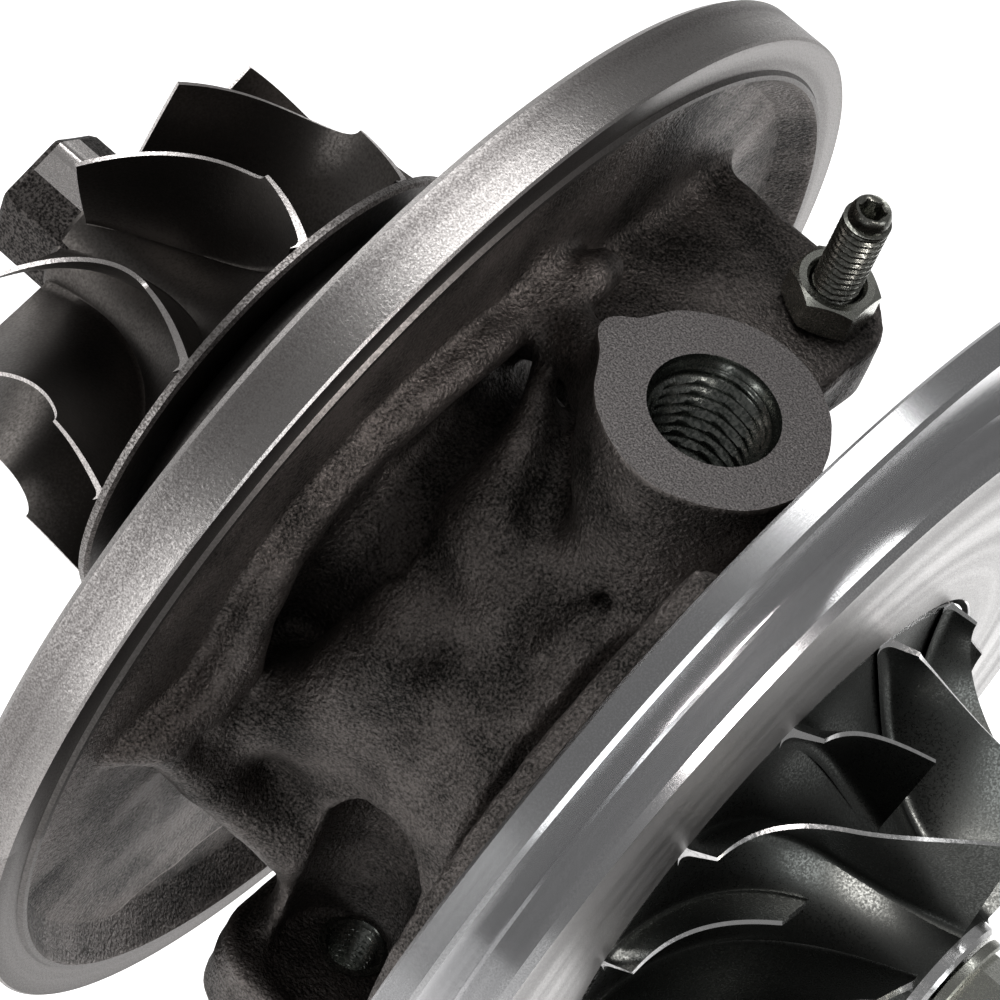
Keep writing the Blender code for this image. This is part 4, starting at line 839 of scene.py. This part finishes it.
def make_compressor_wheel():
    profile = [
        (41.7, 3.3), (41.7, 8.0), (COMPRESSOR_BACK, 8.2), (COMPRESSOR_BACK, COMPRESSOR_RADIUS - 0.1),
        (COMPRESSOR_BACK + 0.1, COMPRESSOR_RADIUS),
    ]
    start = (COMPRESSOR_RIM_X, COMPRESSOR_RADIUS)
    profile += [ellipse_point(start, COMPRESSOR_NOSE, t) for t in np.linspace(0, 1, 33)]
    profile += [
        (COMPRESSOR_NOSE_END - 0.4, COMPRESSOR_NOSE[1]), (COMPRESSOR_NOSE_END, COMPRESSOR_NOSE[1] - 0.4),
        (COMPRESSOR_NOSE_END, 3.3),
    ]
    points, faces = revolve(profile)
    rows = len(profile)
    # The hub's rows that are not bright take the near black tone that is painted shade in the passages.
    bright = set(range(3, 6)) | set(range(rows - 4, rows))
    tints = row_tints(faces, [int(row in bright) for row in range(rows)])
    make_piece(
        "compressor_hub", points, faces, [WHEEL_ALUMINIUM_PAINTED_SHADE, MILLED_ALUMINIUM], "rotor",
        ["compressor_wheel"], tints, sharp=25.0,
    )
    along, across = ((48, 20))
    # The blades' faces take the painted shade of the passages, and their milled edges the bright aluminium.
    finishes = [WHEEL_ALUMINIUM_PAINTED_SHADE, MILLED_ALUMINIUM]
    full = make_blade(
        "compressor_blades", compressor_station, 1.0, 0.42, 0.4, 1.3, along, across, finishes,
    )
    short = make_blade(
        "compressor_splitters", compressor_station, SPLITTER_SHARE, 0.42, 0.4, 1.3, along, across, finishes,
    )
    half_step = 180 / COMPRESSOR_PAIRS
    for blade, phase in ((full, COMPRESSOR_TIP_ANGLE), (short, COMPRESSOR_TIP_ANGLE + half_step)):
        ring = ring_of_blades(blade, COMPRESSOR_PAIRS, phase, WHEEL_ALUMINIUM_PAINTED_SHADE)
        settle(ring, "rotor", ["compressor_wheel"], 40.0)


make_compressor_wheel()

# %% [markdown]
# ## Threads
#
# A thread is a height that winds round an axis: at each angle its crest has moved along by a share of the
# pitch. A grid of points round the axis and along it, pushed in and out by that height, gives a real helix
# for the stop screw, the end of the shaft and the oil inlet.

# %% Helpers for threads


def thread_rows(radius, depth, pitch, start, end, turn, per_pitch, runout):
    """Rows of points about the Z axis from start to end, whose radius follows a helix below the crest."""
    count = max(2, int(round((end - start) / pitch * per_pitch)))
    heights = np.linspace(start, end, count + 1)
    angles = turn_angles(turn)
    rows = []
    for height in heights:
        phase = (height / pitch - angles / (2 * math.pi)) % 1.0
        groove = np.clip(np.abs(phase - 0.5) * 2.6 - 0.3, 0.0, 1.0)
        fade = min(1.0, (height - start) / runout, (end - height) / runout)
        rows.append(round_row(radius - depth * groove * max(fade, 0.0), height, turn))
    return rows


def rows_piece(name, rows, place, material, body, replaced, sharp=30.0):
    points = np.concatenate(rows) + np.array(place)
    faces = grid_faces(len(rows), len(rows[0]), wrap_rows=True, wrap_columns=True)
    make_piece(name, points, faces, [material], body, replaced, sharp=sharp)


THREAD_TURN = 48
THREAD_STEPS = 10
NUT_TURN = 96


def chamfer_drop(hexagon, inner):
    """How far a nut's end drops towards its corners, under a cone that starts at the inner radius."""
    return np.maximum(hexagon - inner, 0.0) * math.tan(math.radians(30))


print("threads have", THREAD_TURN, "points a turn")

# %% [markdown]
# ## The stop screw and its lock nut
#
# The screw limits how far the vane lever opens. It is a set screw with a hexagon socket, and a nut locks it
# on the lug. A nut's corners are chamfered by a cone, so each flat ends in an arc.

# %% Make the stop screw and the lock nut
screw_low, screw_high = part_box("stop_screw")
nut_low, nut_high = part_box("lock_nut")
SCREW_PLACE = ((screw_low.x + screw_high.x) / 2 / MM, (screw_low.y + screw_high.y) / 2 / MM, 0.0)
SCREW_TOP = screw_high.z / MM
SCREW_BOTTOM = screw_low.z / MM
SCREW_RADIUS = 2.4
SCREW_PITCH = 0.8
SOCKET_ACROSS_FLATS = 2.3
NUT_BOTTOM = nut_low.z / MM
NUT_TOP = nut_high.z / MM
NUT_ACROSS_FLATS = 8.0


def make_stop_screw():
    turn = THREAD_TURN
    socket = hexagon_radius(SOCKET_ACROSS_FLATS, turn)
    rows = round_rows(((ON_AXIS, SCREW_BOTTOM), (1.7, SCREW_BOTTOM)), turn)
    rows += thread_rows(
        SCREW_RADIUS, 0.42, SCREW_PITCH, SCREW_BOTTOM + 0.7, SCREW_TOP - 1.7, turn, THREAD_STEPS, 0.5,
    )
    rows += round_rows((
        (2.05, SCREW_TOP - 1.6), (2.05, SCREW_TOP - 0.7), (1.85, SCREW_TOP - 0.15), (1.70, SCREW_TOP),
        (1.45, SCREW_TOP - 0.05), (socket, SCREW_TOP - 0.3), (socket, SCREW_TOP - 3.0),
        (ON_AXIS, SCREW_TOP - 3.6),
    ), turn)
    rows_piece(
        "stop_screw_threaded", rows, SCREW_PLACE, SCREW_STEEL, "stop_screw", ["stop_screw"],
        sharp=40.0,
    )


def make_lock_nut():
    hexagon = hexagon_radius(NUT_ACROSS_FLATS, NUT_TURN)
    inner = NUT_ACROSS_FLATS / 2 * 0.95
    drop = chamfer_drop(hexagon, inner)
    rows = round_rows((
        (2.72, NUT_BOTTOM), (inner, NUT_BOTTOM), (hexagon, NUT_BOTTOM + drop), (hexagon, NUT_TOP - drop),
        (inner, NUT_TOP), (3.05, NUT_TOP), (2.72, NUT_TOP - 0.35),
    ), NUT_TURN)
    rows_piece(
        "lock_nut_chamfered", rows, SCREW_PLACE, BRIGHT_STEEL, "lock_nut", ["lock_nut"],
        sharp=20.0,
    )


make_stop_screw()
make_lock_nut()

# %% [markdown]
# ## The shaft's ends
#
# The rotor's shaft ends in a thread that carries the shaft nut. The nut has a turned flange and a hexagon.

# %% Make the shaft and its nut
SHAFT_START, SHAFT_END, _ = reach("rotor_shaft")
SHAFT_NUT_START, SHAFT_NUT_END, _ = reach("shaft_nut")
SHAFT_NUT_ACROSS_FLATS = 9.0


def make_shaft():
    turn = THREAD_TURN
    rows = round_rows((
        (ON_AXIS, SHAFT_START), (2.5, SHAFT_START), (2.5, -12.7), (4.0, -12.7), (4.0, -0.3), (3.7, 0.2),
        (3.7, 15.6), (4.0, 16.1), (4.0, 26.0), (3.0, 26.0),
    ), turn)
    rows += thread_rows(3.0, 0.5, 1.0, SHAFT_NUT_START - 2.0, SHAFT_END - 0.7, turn, THREAD_STEPS, 0.6)
    rows += round_rows(((2.4, SHAFT_END), (0.9, SHAFT_END), (ON_AXIS, SHAFT_END - 1.0)), turn)
    rows_piece(
        "rotor_shaft_threaded", along_shaft(rows), (0, 0, 0), BRIGHT_STEEL, "rotor",
        ["rotor_shaft"], sharp=40.0,
    )


def make_shaft_nut():
    start, end = SHAFT_NUT_START, SHAFT_NUT_END
    flange_top = start + 1.2
    hexagon = hexagon_radius(SHAFT_NUT_ACROSS_FLATS, NUT_TURN)
    inner = SHAFT_NUT_ACROSS_FLATS / 2 * 0.96
    rows = round_rows((
        (3.15, start), (6.1, start), (6.2, start + 0.1), (6.2, flange_top - 0.2), (5.9, flange_top),
        (hexagon, flange_top), (hexagon, end - chamfer_drop(hexagon, inner)), (inner, end), (3.5, end),
        (3.15, end - 0.35),
    ), NUT_TURN)
    rows_piece(
        "shaft_nut_chamfered", along_shaft(rows), (0, 0, 0), BRIGHT_STEEL, "rotor",
        ["shaft_nut"], sharp=25.0,
    )


make_shaft()
make_shaft_nut()

# %% [markdown]
# ## The heat shield
#
# Behind the turbine wheel sits a pressed steel cup. It keeps the exhaust's heat off the housing. Its lip
# lies in a recess of the turbine flange, under the wall of the turbine housing. Its near black finish is
# painted shade, for the deep gap between the wheel and the flange.

# %% Turn the heat shield
SHIELD_BOTTOM, SHIELD_LIP, SHIELD_RADIUS = reach("heat_shield")
SHIELD_WALL = 24.1
SHEET = 0.8
turned_piece(
    "heat_shield_pressed",
    [
        (SHIELD_BOTTOM + SHEET, 9.2), (SHIELD_BOTTOM + SHEET, SHIELD_WALL - 2.6),
        (SHIELD_BOTTOM + 2.6, SHIELD_WALL - SHEET), (SHIELD_LIP, SHIELD_WALL - SHEET),
        (SHIELD_LIP, SHIELD_RADIUS), (SHIELD_LIP - SHEET, SHIELD_RADIUS), (SHIELD_LIP - SHEET, SHIELD_WALL),
        (SHIELD_BOTTOM + 1.8, SHIELD_WALL), (SHIELD_BOTTOM, SHIELD_WALL - 1.8), (SHIELD_BOTTOM, 9.2),
    ],
    SHEET_STEEL_PAINTED_SHADE, ["heat_shield"], rounding=0.5,
)

# %% [markdown]
# ## The turbine flange
#
# The casting's large flange is machined where the turbine housing clamps it: on its rim, on its turbine
# side and on a narrow land at its other side. These faces are turned here as one ring. The rough web inside
# the land comes with the casting.

# %% Turn the flange's machined rim
HOUSING_START, HOUSING_END, FLANGE_RADIUS = reach("bearing_housing")
FLANGE_BACK = -6.5
LAND_RADIUS = 55.9
SNOUT_RADIUS = 23.0
SHIELD_SEAT = -5.2
SHIELD_SEAT_RADIUS = 30.3

rim_profile = [
    (SHIELD_SEAT, SNOUT_RADIUS - 1.0),
    (SHIELD_SEAT, SHIELD_SEAT_RADIUS),
    (FLANGE_BACK, SHIELD_SEAT_RADIUS),
    (FLANGE_BACK, FLANGE_RADIUS - 0.7),
    (FLANGE_BACK + 0.7, FLANGE_RADIUS),
    (-0.25, FLANGE_RADIUS),
    (0.0, FLANGE_RADIUS - 0.25),
    (0.0, LAND_RADIUS + 0.35),
    (0.45, LAND_RADIUS + 0.05),
    (0.50, LAND_RADIUS - 0.45),
    (-0.9, LAND_RADIUS - 1.3),
    (-3.2, LAND_RADIUS - 3.6),
    (-4.2, SNOUT_RADIUS - 1.0),
]
rim_points, rim_faces = revolve(rim_profile)
make_piece(
    "turbine_flange_rim", rim_points, rim_faces, [MACHINED_IRON, DARK_MACHINED_IRON, CAST_IRON],
    "housing", ["bearing_housing"],
    row_tints(rim_faces, (0, 0, 0, 0, 0, 0, 1, 1, 1, 2, 2, 2, 2)), sharp=18.0,
)
turned_piece(
    "housing_snout",
    [
        (HOUSING_START, 8.5), (HOUSING_START, SNOUT_RADIUS - 1.5), (HOUSING_START + 1.5, SNOUT_RADIUS),
        (SHIELD_SEAT + 0.6, SNOUT_RADIUS), (SHIELD_SEAT + 0.6, 8.5),
    ],
    DARK_MACHINED_IRON, ["bearing_housing"], rounding=0.3,
)

# %% [markdown]
# ## The rear flange's rim
#
# The smaller flange behind the backplate keeps its rough skin. Little of it shows, so its edge is crisp.

# %% Turn the rear flange's rim
REAR_FLANGE_RADIUS = 50.6
rear_points, rear_faces = revolve([
    (HOUSING_END - 0.9, 30.0), (HOUSING_END - 1.2, 46.5), (HOUSING_END - 2.8, 49.0),
    (HOUSING_END - 2.5, 50.2), (HOUSING_END - 2.0, REAR_FLANGE_RADIUS),
    (HOUSING_END - 0.4, REAR_FLANGE_RADIUS), (HOUSING_END, REAR_FLANGE_RADIUS - 0.4), (HOUSING_END, 30.0),
])
make_piece(
    "rear_flange_rim", rear_points, rear_faces, [COARSE_IRON], "housing", ["bearing_housing"],
)

# %% [markdown]
# ## The casting
#
# Everything between the two flanges is rough cast iron: barrel, ribs, bosses and the drain's chimney all
# run into each other with generous fillets, and no edge is sharp. Such a form is easiest to describe by a
# distance: for each point of a grid, how far it lies from the nearest surface. Two forms join with a fillet
# by a smooth minimum of their distances, and a pocket is cut by a smooth maximum. The zero level of the
# result becomes the mesh.

# %% Helpers for distance fields
VOXEL = 0.75
FIELD_LOW = np.array((-7.0, -59.0, -47.0))
FIELD_HIGH = np.array((38.5, 59.0, 59.0))

field_steps = [np.arange(low, high, VOXEL, dtype=np.float32) for low, high in zip(FIELD_LOW, FIELD_HIGH)]
X, Y, Z = np.meshgrid(*field_steps, indexing="ij")
R = np.hypot(Y, Z)


def smooth_union(a, b, fillet):
    overlap = np.maximum(fillet - np.abs(a - b), 0) / fillet
    return np.minimum(a, b) - overlap * overlap * fillet * 0.25


def smooth_cut(a, b, fillet):
    """What is left of a when b is taken away."""
    return -smooth_union(-a, b, fillet)


def cone(x0, x1, r0, r1):
    """A cone about the shaft, from radius r0 at x0 to r1 at x1."""
    radius = r0 + (r1 - r0) * np.clip((X - x0) / (x1 - x0), 0, 1)
    return np.maximum(R - radius, np.abs(X - (x0 + x1) / 2) - (x1 - x0) / 2)


def disc(x0, x1, radius):
    return cone(x0, x1, radius, radius)


def upright_bar(place, radius, bottom, top, draft=0.0):
    """An upright cylinder, or with draft one that narrows upwards by that much for each millimetre."""
    away = np.hypot(X - place[0], Y - place[1]) - radius + (Z - bottom) * draft
    return np.maximum(away, np.abs(Z - (bottom + top) / 2) - (top - bottom) / 2)


def rounded_box(corner, opposite, rounding):
    centre = [(a + b) / 2 for a, b in zip(corner, opposite)]
    half = [abs(b - a) / 2 - rounding for a, b in zip(corner, opposite)]
    qx, qy, qz = (np.abs(axis - c) - h for axis, c, h in zip((X, Y, Z), centre, half))
    outside = np.sqrt(np.maximum(qx, 0) ** 2 + np.maximum(qy, 0) ** 2 + np.maximum(qz, 0) ** 2)
    return outside + np.minimum(np.maximum(qx, np.maximum(qy, qz)), 0) - rounding


def rope(points):
    """A chain of round bars through (x, y, z, radius) points."""
    nearest = np.full_like(X, 1e3)
    for start, end in zip(points, points[1:]):
        sx, sy, sz, sr = start
        dx, dy, dz, dr = (e - s for s, e in zip(start, end))
        along = ((X - sx) * dx + (Y - sy) * dy + (Z - sz) * dz) / (dx * dx + dy * dy + dz * dz)
        along = np.clip(along, 0, 1)
        away = np.sqrt((X - sx - along * dx) ** 2 + (Y - sy - along * dy) ** 2 + (Z - sz - along * dz) ** 2)
        nearest = np.minimum(nearest, away - sr - along * dr)
    return nearest


def ring_point(x, radius, degrees, thickness):
    """A point for a rope, at an angle about the shaft from +Y towards +Z."""
    angle = math.radians(degrees)
    return x, radius * math.cos(angle), radius * math.sin(angle), thickness


def lumps(size, seed):
    """Smooth random values from -1 to 1 on the grid, with lumps of a size in millimetres."""
    random = np.random.default_rng(seed)
    shape = [int((high - low) / size) + 3 for low, high in zip(FIELD_LOW, FIELD_HIGH)]
    values = random.uniform(-1.0, 1.0, shape).astype(np.float32)
    for axis, steps in enumerate(field_steps):
        place = (steps - FIELD_LOW[axis]) / size
        index = place.astype(int)
        share = place - index
        share = share * share * (3 - 2 * share)
        share = share.reshape([-1 if a == axis else 1 for a in range(3)])
        values = np.take(values, index, axis) * (1 - share) + np.take(values, index + 1, axis) * share
    return values


def field_mesh(field):
    """Points in millimetres and faces of the zero level."""
    limit = 3 * VOXEL
    grid = openvdb.FloatGrid(limit)
    grid.copyFromArray(np.clip(field, -limit, limit).astype(np.float32))
    points, triangles, quads = grid.convertToPolygons(isovalue=0.0, adaptivity=0.0)
    points = points * VOXEL + FIELD_LOW
    return points, [tuple(face) for face in triangles.tolist() + quads.tolist()]


print("field:", X.shape, "points", VOXEL, "mm apart")

# %% [markdown]
# ## Shaping the casting
#
# The barrel comes first, with a disc at each end. Then come the forms that the foundry's pattern added to
# it: the ridge on the flange's web, the gallery that leads down from the oil inlet, a block at each side,
# the chimney and foot of the oil drain, the inlet's boss, and the lug of the stop screw. The small grooves
# and the bores are cut last, and a little waviness makes the skin look cast.

# %% Shape the casting
INLET_X = 20.8
INLET_TOP = 41.0
INLET_RADIUS = 11.2
INLET_MOUTH_RADIUS = 6.4
INLET_THREAD_RADIUS = 5.95
INLET_THREAD_DEPTH = 0.72
INLET_PITCH = 1.5
INLET_THREAD_BOTTOM = INLET_TOP - 15.0
LUG_TOP = 27.5
DRAIN_X = 18.0
DRAIN_FACE = -44.0
DRAIN_FOOT_TOP = -35.0
DRAIN_BOLT_Y = 18.0
NECK_RADIUS = 17.5
CORE_RADIUS = 25.0
BLOCK_HALF_WIDTH = 24.5
BLOCK_FRONT = 12.5


def make_casting_field():
    body = disc(-4.7, -2.7, LAND_RADIUS - 0.6)
    body = smooth_union(body, disc(-4.7, 12.0, NECK_RADIUS), 4.0)
    body = smooth_union(body, disc(8.2, 24.0, CORE_RADIUS - 1.2) - 1.2, 2.4)
    rear = cone(HOUSING_END - 9.0, HOUSING_END - 3.9, CORE_RADIUS - 4.0, CORE_RADIUS + 10.0)
    rear = smooth_union(rear, disc(HOUSING_END - 2.4, HOUSING_END - 0.4, REAR_FLANGE_RADIUS - 1.4), 3.0)
    band = smooth_cut(cone(HOUSING_END - 6.0, HOUSING_END - 1.5, 43.8, 44.6), -13.0 - Y, 4.0)
    rear = smooth_union(rear, band, 1.2)
    body = smooth_union(body, rear, 8.0)

    ridge = rope([
        ring_point(-2.0, 32.0, 72, 1.4), ring_point(-1.0, 31.0, 86, 2.0), ring_point(-0.7, 31.3, 98, 2.2),
        ring_point(-1.0, 31.5, 112, 2.2), ring_point(-1.5, 31.7, 124, 2.2), ring_point(-1.6, 32.0, 136, 2.2),
        ring_point(-1.4, 31.8, 148, 2.3), ring_point(-0.9, 31.0, 160, 2.4), ring_point(-0.5, 30.0, 172, 2.8),
        (-0.4, -33.0, 0.5, 2.8), (-1.6, -38.5, -1.5, 2.2), (-2.4, -42.0, -2.5, 1.2),
    ])
    ridge = np.minimum(ridge, rope([ring_point(-0.6, 31.5, degrees, 2.2) for degrees in range(172, 421, 12)]))
    body = smooth_union(body, ridge, 1.8)

    spur = rope([
        (3.2, 1.8, 27.8, 1.2), (6.0, -1.2, 27.0, 2.2), (8.8, -5.4, 24.2, 4.0), (10.6, -11.0, 20.8, 5.2),
    ])
    lump = rope([(10.6, -11.0, 20.2, 5.2), (17.0, -13.6, 18.0, 5.2)])
    body = smooth_union(body, smooth_union(spur, lump, 2.0), 2.0)

    for side in (-1, 1):
        block = rounded_box((-3.0, side * 6.0, -27.0), (BLOCK_FRONT, side * BLOCK_HALF_WIDTH, -2.0), 4.5)
        shoulder = rope([
            (10.5, side * 20.8, 11.2, 4.6), (7.2, side * 23.2, 2.0, 4.3), (1.5, side * 26.5, -5.0, 4.0),
        ])
        edge = rope([
            (-1.0, side * 38.0, -2.4, 1.8), (0.8, side * 32.5, -9.5, 2.6), (4.0, side * 26.5, -16.5, 3.6),
            (9.0, side * 22.5, -20.5, 4.2), (12.0, side * 18.0, -24.0, 4.0),
        ])
        body = smooth_union(body, smooth_union(smooth_union(block, shoulder, 6.0), edge, 4.0), 3.5)

    chimney = rounded_box((DRAIN_X - 12.0, -15.0, -42.0), (DRAIN_X + 12.0, 15.0, -6.0), 4.0)
    body = smooth_union(body, chimney, 6.0)
    foot = rounded_box((DRAIN_X - 11.0, -30.0, -50.0), (DRAIN_X + 11.0, 30.0, DRAIN_FOOT_TOP), 1.2)
    corner = np.hypot(np.maximum(np.abs(X - DRAIN_X) - 4.0, 0), np.maximum(np.abs(Y) - 23.0, 0)) - 7.0
    body = smooth_union(body, np.maximum(foot, corner), 2.0)
    for side in (-1, 1):
        web = rounded_box((9.0, side * 10.0, -38.0), (27.0, side * 24.5, -7.0), 3.5)
        body = smooth_union(body, web, 3.0)

    boss = upright_bar((INLET_X, 0.0), INLET_RADIUS + 0.25, 0.0, INLET_TOP + 4.0, draft=0.006)
    body = smooth_union(body, boss, 5.5 * np.clip((INLET_TOP - 0.8 - Z) / 12.0, 0.03, 1.0))
    hollow = rope([
        (4.4, 7.6, 29.2, 1.6), (8.0, 1.4, 29.6, 2.0), (11.2, -5.0, 28.8, 2.0), (13.6, -9.8, 26.8, 1.2),
    ])
    body = smooth_cut(body, hollow, 4.5)
    parting = rope([(10.6, -0.3, 30.0, 1.4), (9.3, -0.4, 38.0, 1.2), (8.9, -0.5, 46.0, 1.0)])
    body = smooth_union(body, parting, 3.4)
    rib = rope([(12.0, 1.0, 33.0, 3.0), (3.0, 4.0, 31.5, 2.6), (-3.0, 6.0, 32.0, 3.0)])
    body = smooth_union(body, rib, 3.0)
    body = smooth_union(body, rope([(1.0, 8.5, 33.5, 2.4), (1.0, 11.0, 33.0, 2.0)]), 2.0)

    lug = rounded_box((-5.0, 8.0, LUG_TOP - 8.5), (22.0, 36.6, LUG_TOP), 1.2)
    lug_end = np.hypot(np.maximum(X - 15.6, 0), np.maximum(Y - 30.2, 0)) - 6.4
    body = smooth_union(body, np.maximum(lug, lug_end), 3.0)

    for knob in ((24.4, -4.5, 26.6, 2.2), (25.2, -8.7, 25.4, 1.9)):
        body = smooth_union(body, rope([knob, (knob[0] + 0.1, *knob[1:])]), 1.0)
    slot = rope([
        (23.4, -9.6, 24.6, 0.4), (22.9, -15.8, 21.2, 0.7), (22.3, -20.3, 17.1, 0.8), (20.2, -23.6, 12.8, 0.4),
    ])
    crease = rope([(4.6, -20.2, 17.6, 0.9), (12.0, -21.0, 17.2, 0.8), (18.0, -21.4, 16.4, 0.7)])
    for groove in (slot, crease):
        body = smooth_cut(body, groove, 1.8)
    for side in (-1, 1):
        relief = upright_bar((DRAIN_X, side * 21.5), 6.2, -35.5, -12.0)
        dome = rope([(DRAIN_X, side * 21.5, -12.5, 6.2), (DRAIN_X, side * 21.0, -12.4, 6.2)])
        body = smooth_cut(body, np.minimum(relief, dome), 1.6)
        body = smooth_cut(body, upright_bar((DRAIN_X, side * DRAIN_BOLT_Y), 3.2, -60.0, -34.0), 0.3)
    body = smooth_cut(body, upright_bar((DRAIN_X, 0.0), 7.5, -60.0, -4.0), 0.5)
    body = smooth_cut(body, upright_bar((15.6, 30.2), 2.8, 10.0, 40.0), 0.3)
    body = smooth_cut(body, disc(-30.0, 60.0, 8.0), 0.5)

    skin = 0.22 * lumps(7.0, 1) + 0.13 * lumps(2.6, 2) + 0.07 * lumps(1.3, 3)
    body = body + skin
    return np.maximum(body, np.abs(X - (HOUSING_END - 6.0) / 2 - 0.2) - (HOUSING_END + 5.6) / 2)


def cut_flat(bm, height, side, near=None, hole=None):
    """Cuts a mesh by a level plane and closes it with a flat face, round a hole if one is given.

    near is an (x, y, radius): only what lies within that radius is cut. The hole's corners are returned.
    """
    def inside(vert):
        return near is None or math.hypot(vert.co.x / MM - near[0], vert.co.y / MM - near[1]) < near[2]

    faces = [f for f in bm.faces if all(inside(v) for v in f.verts)]
    # A dict drops what repeats and keeps the order, unlike a set, so each run gives the same mesh.
    edges = dict.fromkeys(e for f in faces for e in f.edges)
    verts = dict.fromkeys(v for f in faces for v in f.verts)
    cut = bmesh.ops.bisect_plane(
        bm, geom=[*verts, *edges, *faces], dist=1e-7, plane_co=(0, 0, height * MM), plane_no=(0, 0, side),
        clear_outer=True,
    )
    rims = [e for e in cut["geom_cut"] if isinstance(e, bmesh.types.BMEdge) and e.is_boundary]
    corners = []
    if hole:
        x, y, radius, count = hole
        for a in turn_angles(count):
            corner = Vector((x + radius * math.cos(a), y + radius * math.sin(a), height))
            corners.append(bm.verts.new(corner * MM))
        rims += [bm.edges.new((a, b)) for a, b in zip(corners, corners[1:] + corners[:1])]
    made = bmesh.ops.triangle_fill(bm, use_beauty=True, edges=rims, normal=(0, 0, side))
    for face in made["geom"]:
        if isinstance(face, bmesh.types.BMFace):
            face.material_index = 1
    return corners


def line_hole(bm, corners, rows, material):
    """Walls a hole with rows of points below its corners, and closes its end."""
    above = corners
    for row in rows:
        below = [bm.verts.new(Vector(point) * MM) for point in row]
        for i, corner in enumerate(above):
            k = (i + 1) % len(above)
            bm.faces.new((corner, above[k], below[k], below[i])).material_index = material
        above = below
    bm.faces.new(above[::-1]).material_index = material


def inlet_rows(turn):
    """The mouth, the helix and the drill's cone, from the top down."""
    wall = thread_rows(
        INLET_THREAD_RADIUS, INLET_THREAD_DEPTH, INLET_PITCH, INLET_THREAD_BOTTOM, INLET_TOP - 1.2, turn,
        THREAD_STEPS, 0.8,
    )
    mouth = round_rows(((6.28, INLET_TOP - 0.9), (5.95, INLET_TOP - 1.15)), turn)
    rows = mouth + wall[::-1] + [round_row(1.8, INLET_THREAD_BOTTOM - 2.2, turn)]
    return [row + np.array((INLET_X, 0.0, 0.0)) for row in rows]


def make_casting():
    points, faces = field_mesh(make_casting_field())
    mesh = mesh_of("bearing_housing_casting", points, faces, (CAST_IRON, INLET_FACE_IRON, THREAD_STEEL))
    bm = bmesh.new()
    bm.from_mesh(mesh)
    count = THREAD_TURN * 2
    corners = cut_flat(
        bm, INLET_TOP, 1, (INLET_X - 1.5, 0.0, INLET_RADIUS + 2.0), (INLET_X, 0.0, INLET_MOUTH_RADIUS, count),
    )
    line_hole(bm, corners, inlet_rows(count), 2)
    cut_flat(bm, DRAIN_FACE, -1)
    bmesh.ops.recalc_face_normals(bm, faces=bm.faces)
    bm.to_mesh(mesh)
    print("open edges in the casting:", sum(1 for e in bm.edges if not e.is_manifold))
    bm.free()
    settle(object_of(mesh), "housing", ["bearing_housing"], 60.0)


def make_drain_threads():
    """A threaded sleeve in each bolt hole of the drain's foot."""
    bottom, top, outside = DRAIN_FACE + 0.05, DRAIN_FOOT_TOP - 0.4, 3.7
    for side, word in ((-1, "left"), (1, "right")):
        sleeve = [round_row(outside, bottom, THREAD_TURN)]
        sleeve += thread_rows(3.0, 0.5, 1.0, bottom, top, THREAD_TURN, THREAD_STEPS, 0.3)
        sleeve.append(round_row(outside, top, THREAD_TURN))
        rows_piece(
            "drain_thread_" + word, sleeve, (DRAIN_X, side * DRAIN_BOLT_Y, 0.0), THREAD_STEEL, "housing",
            ["bearing_housing"],
        )


make_casting()
make_drain_threads()
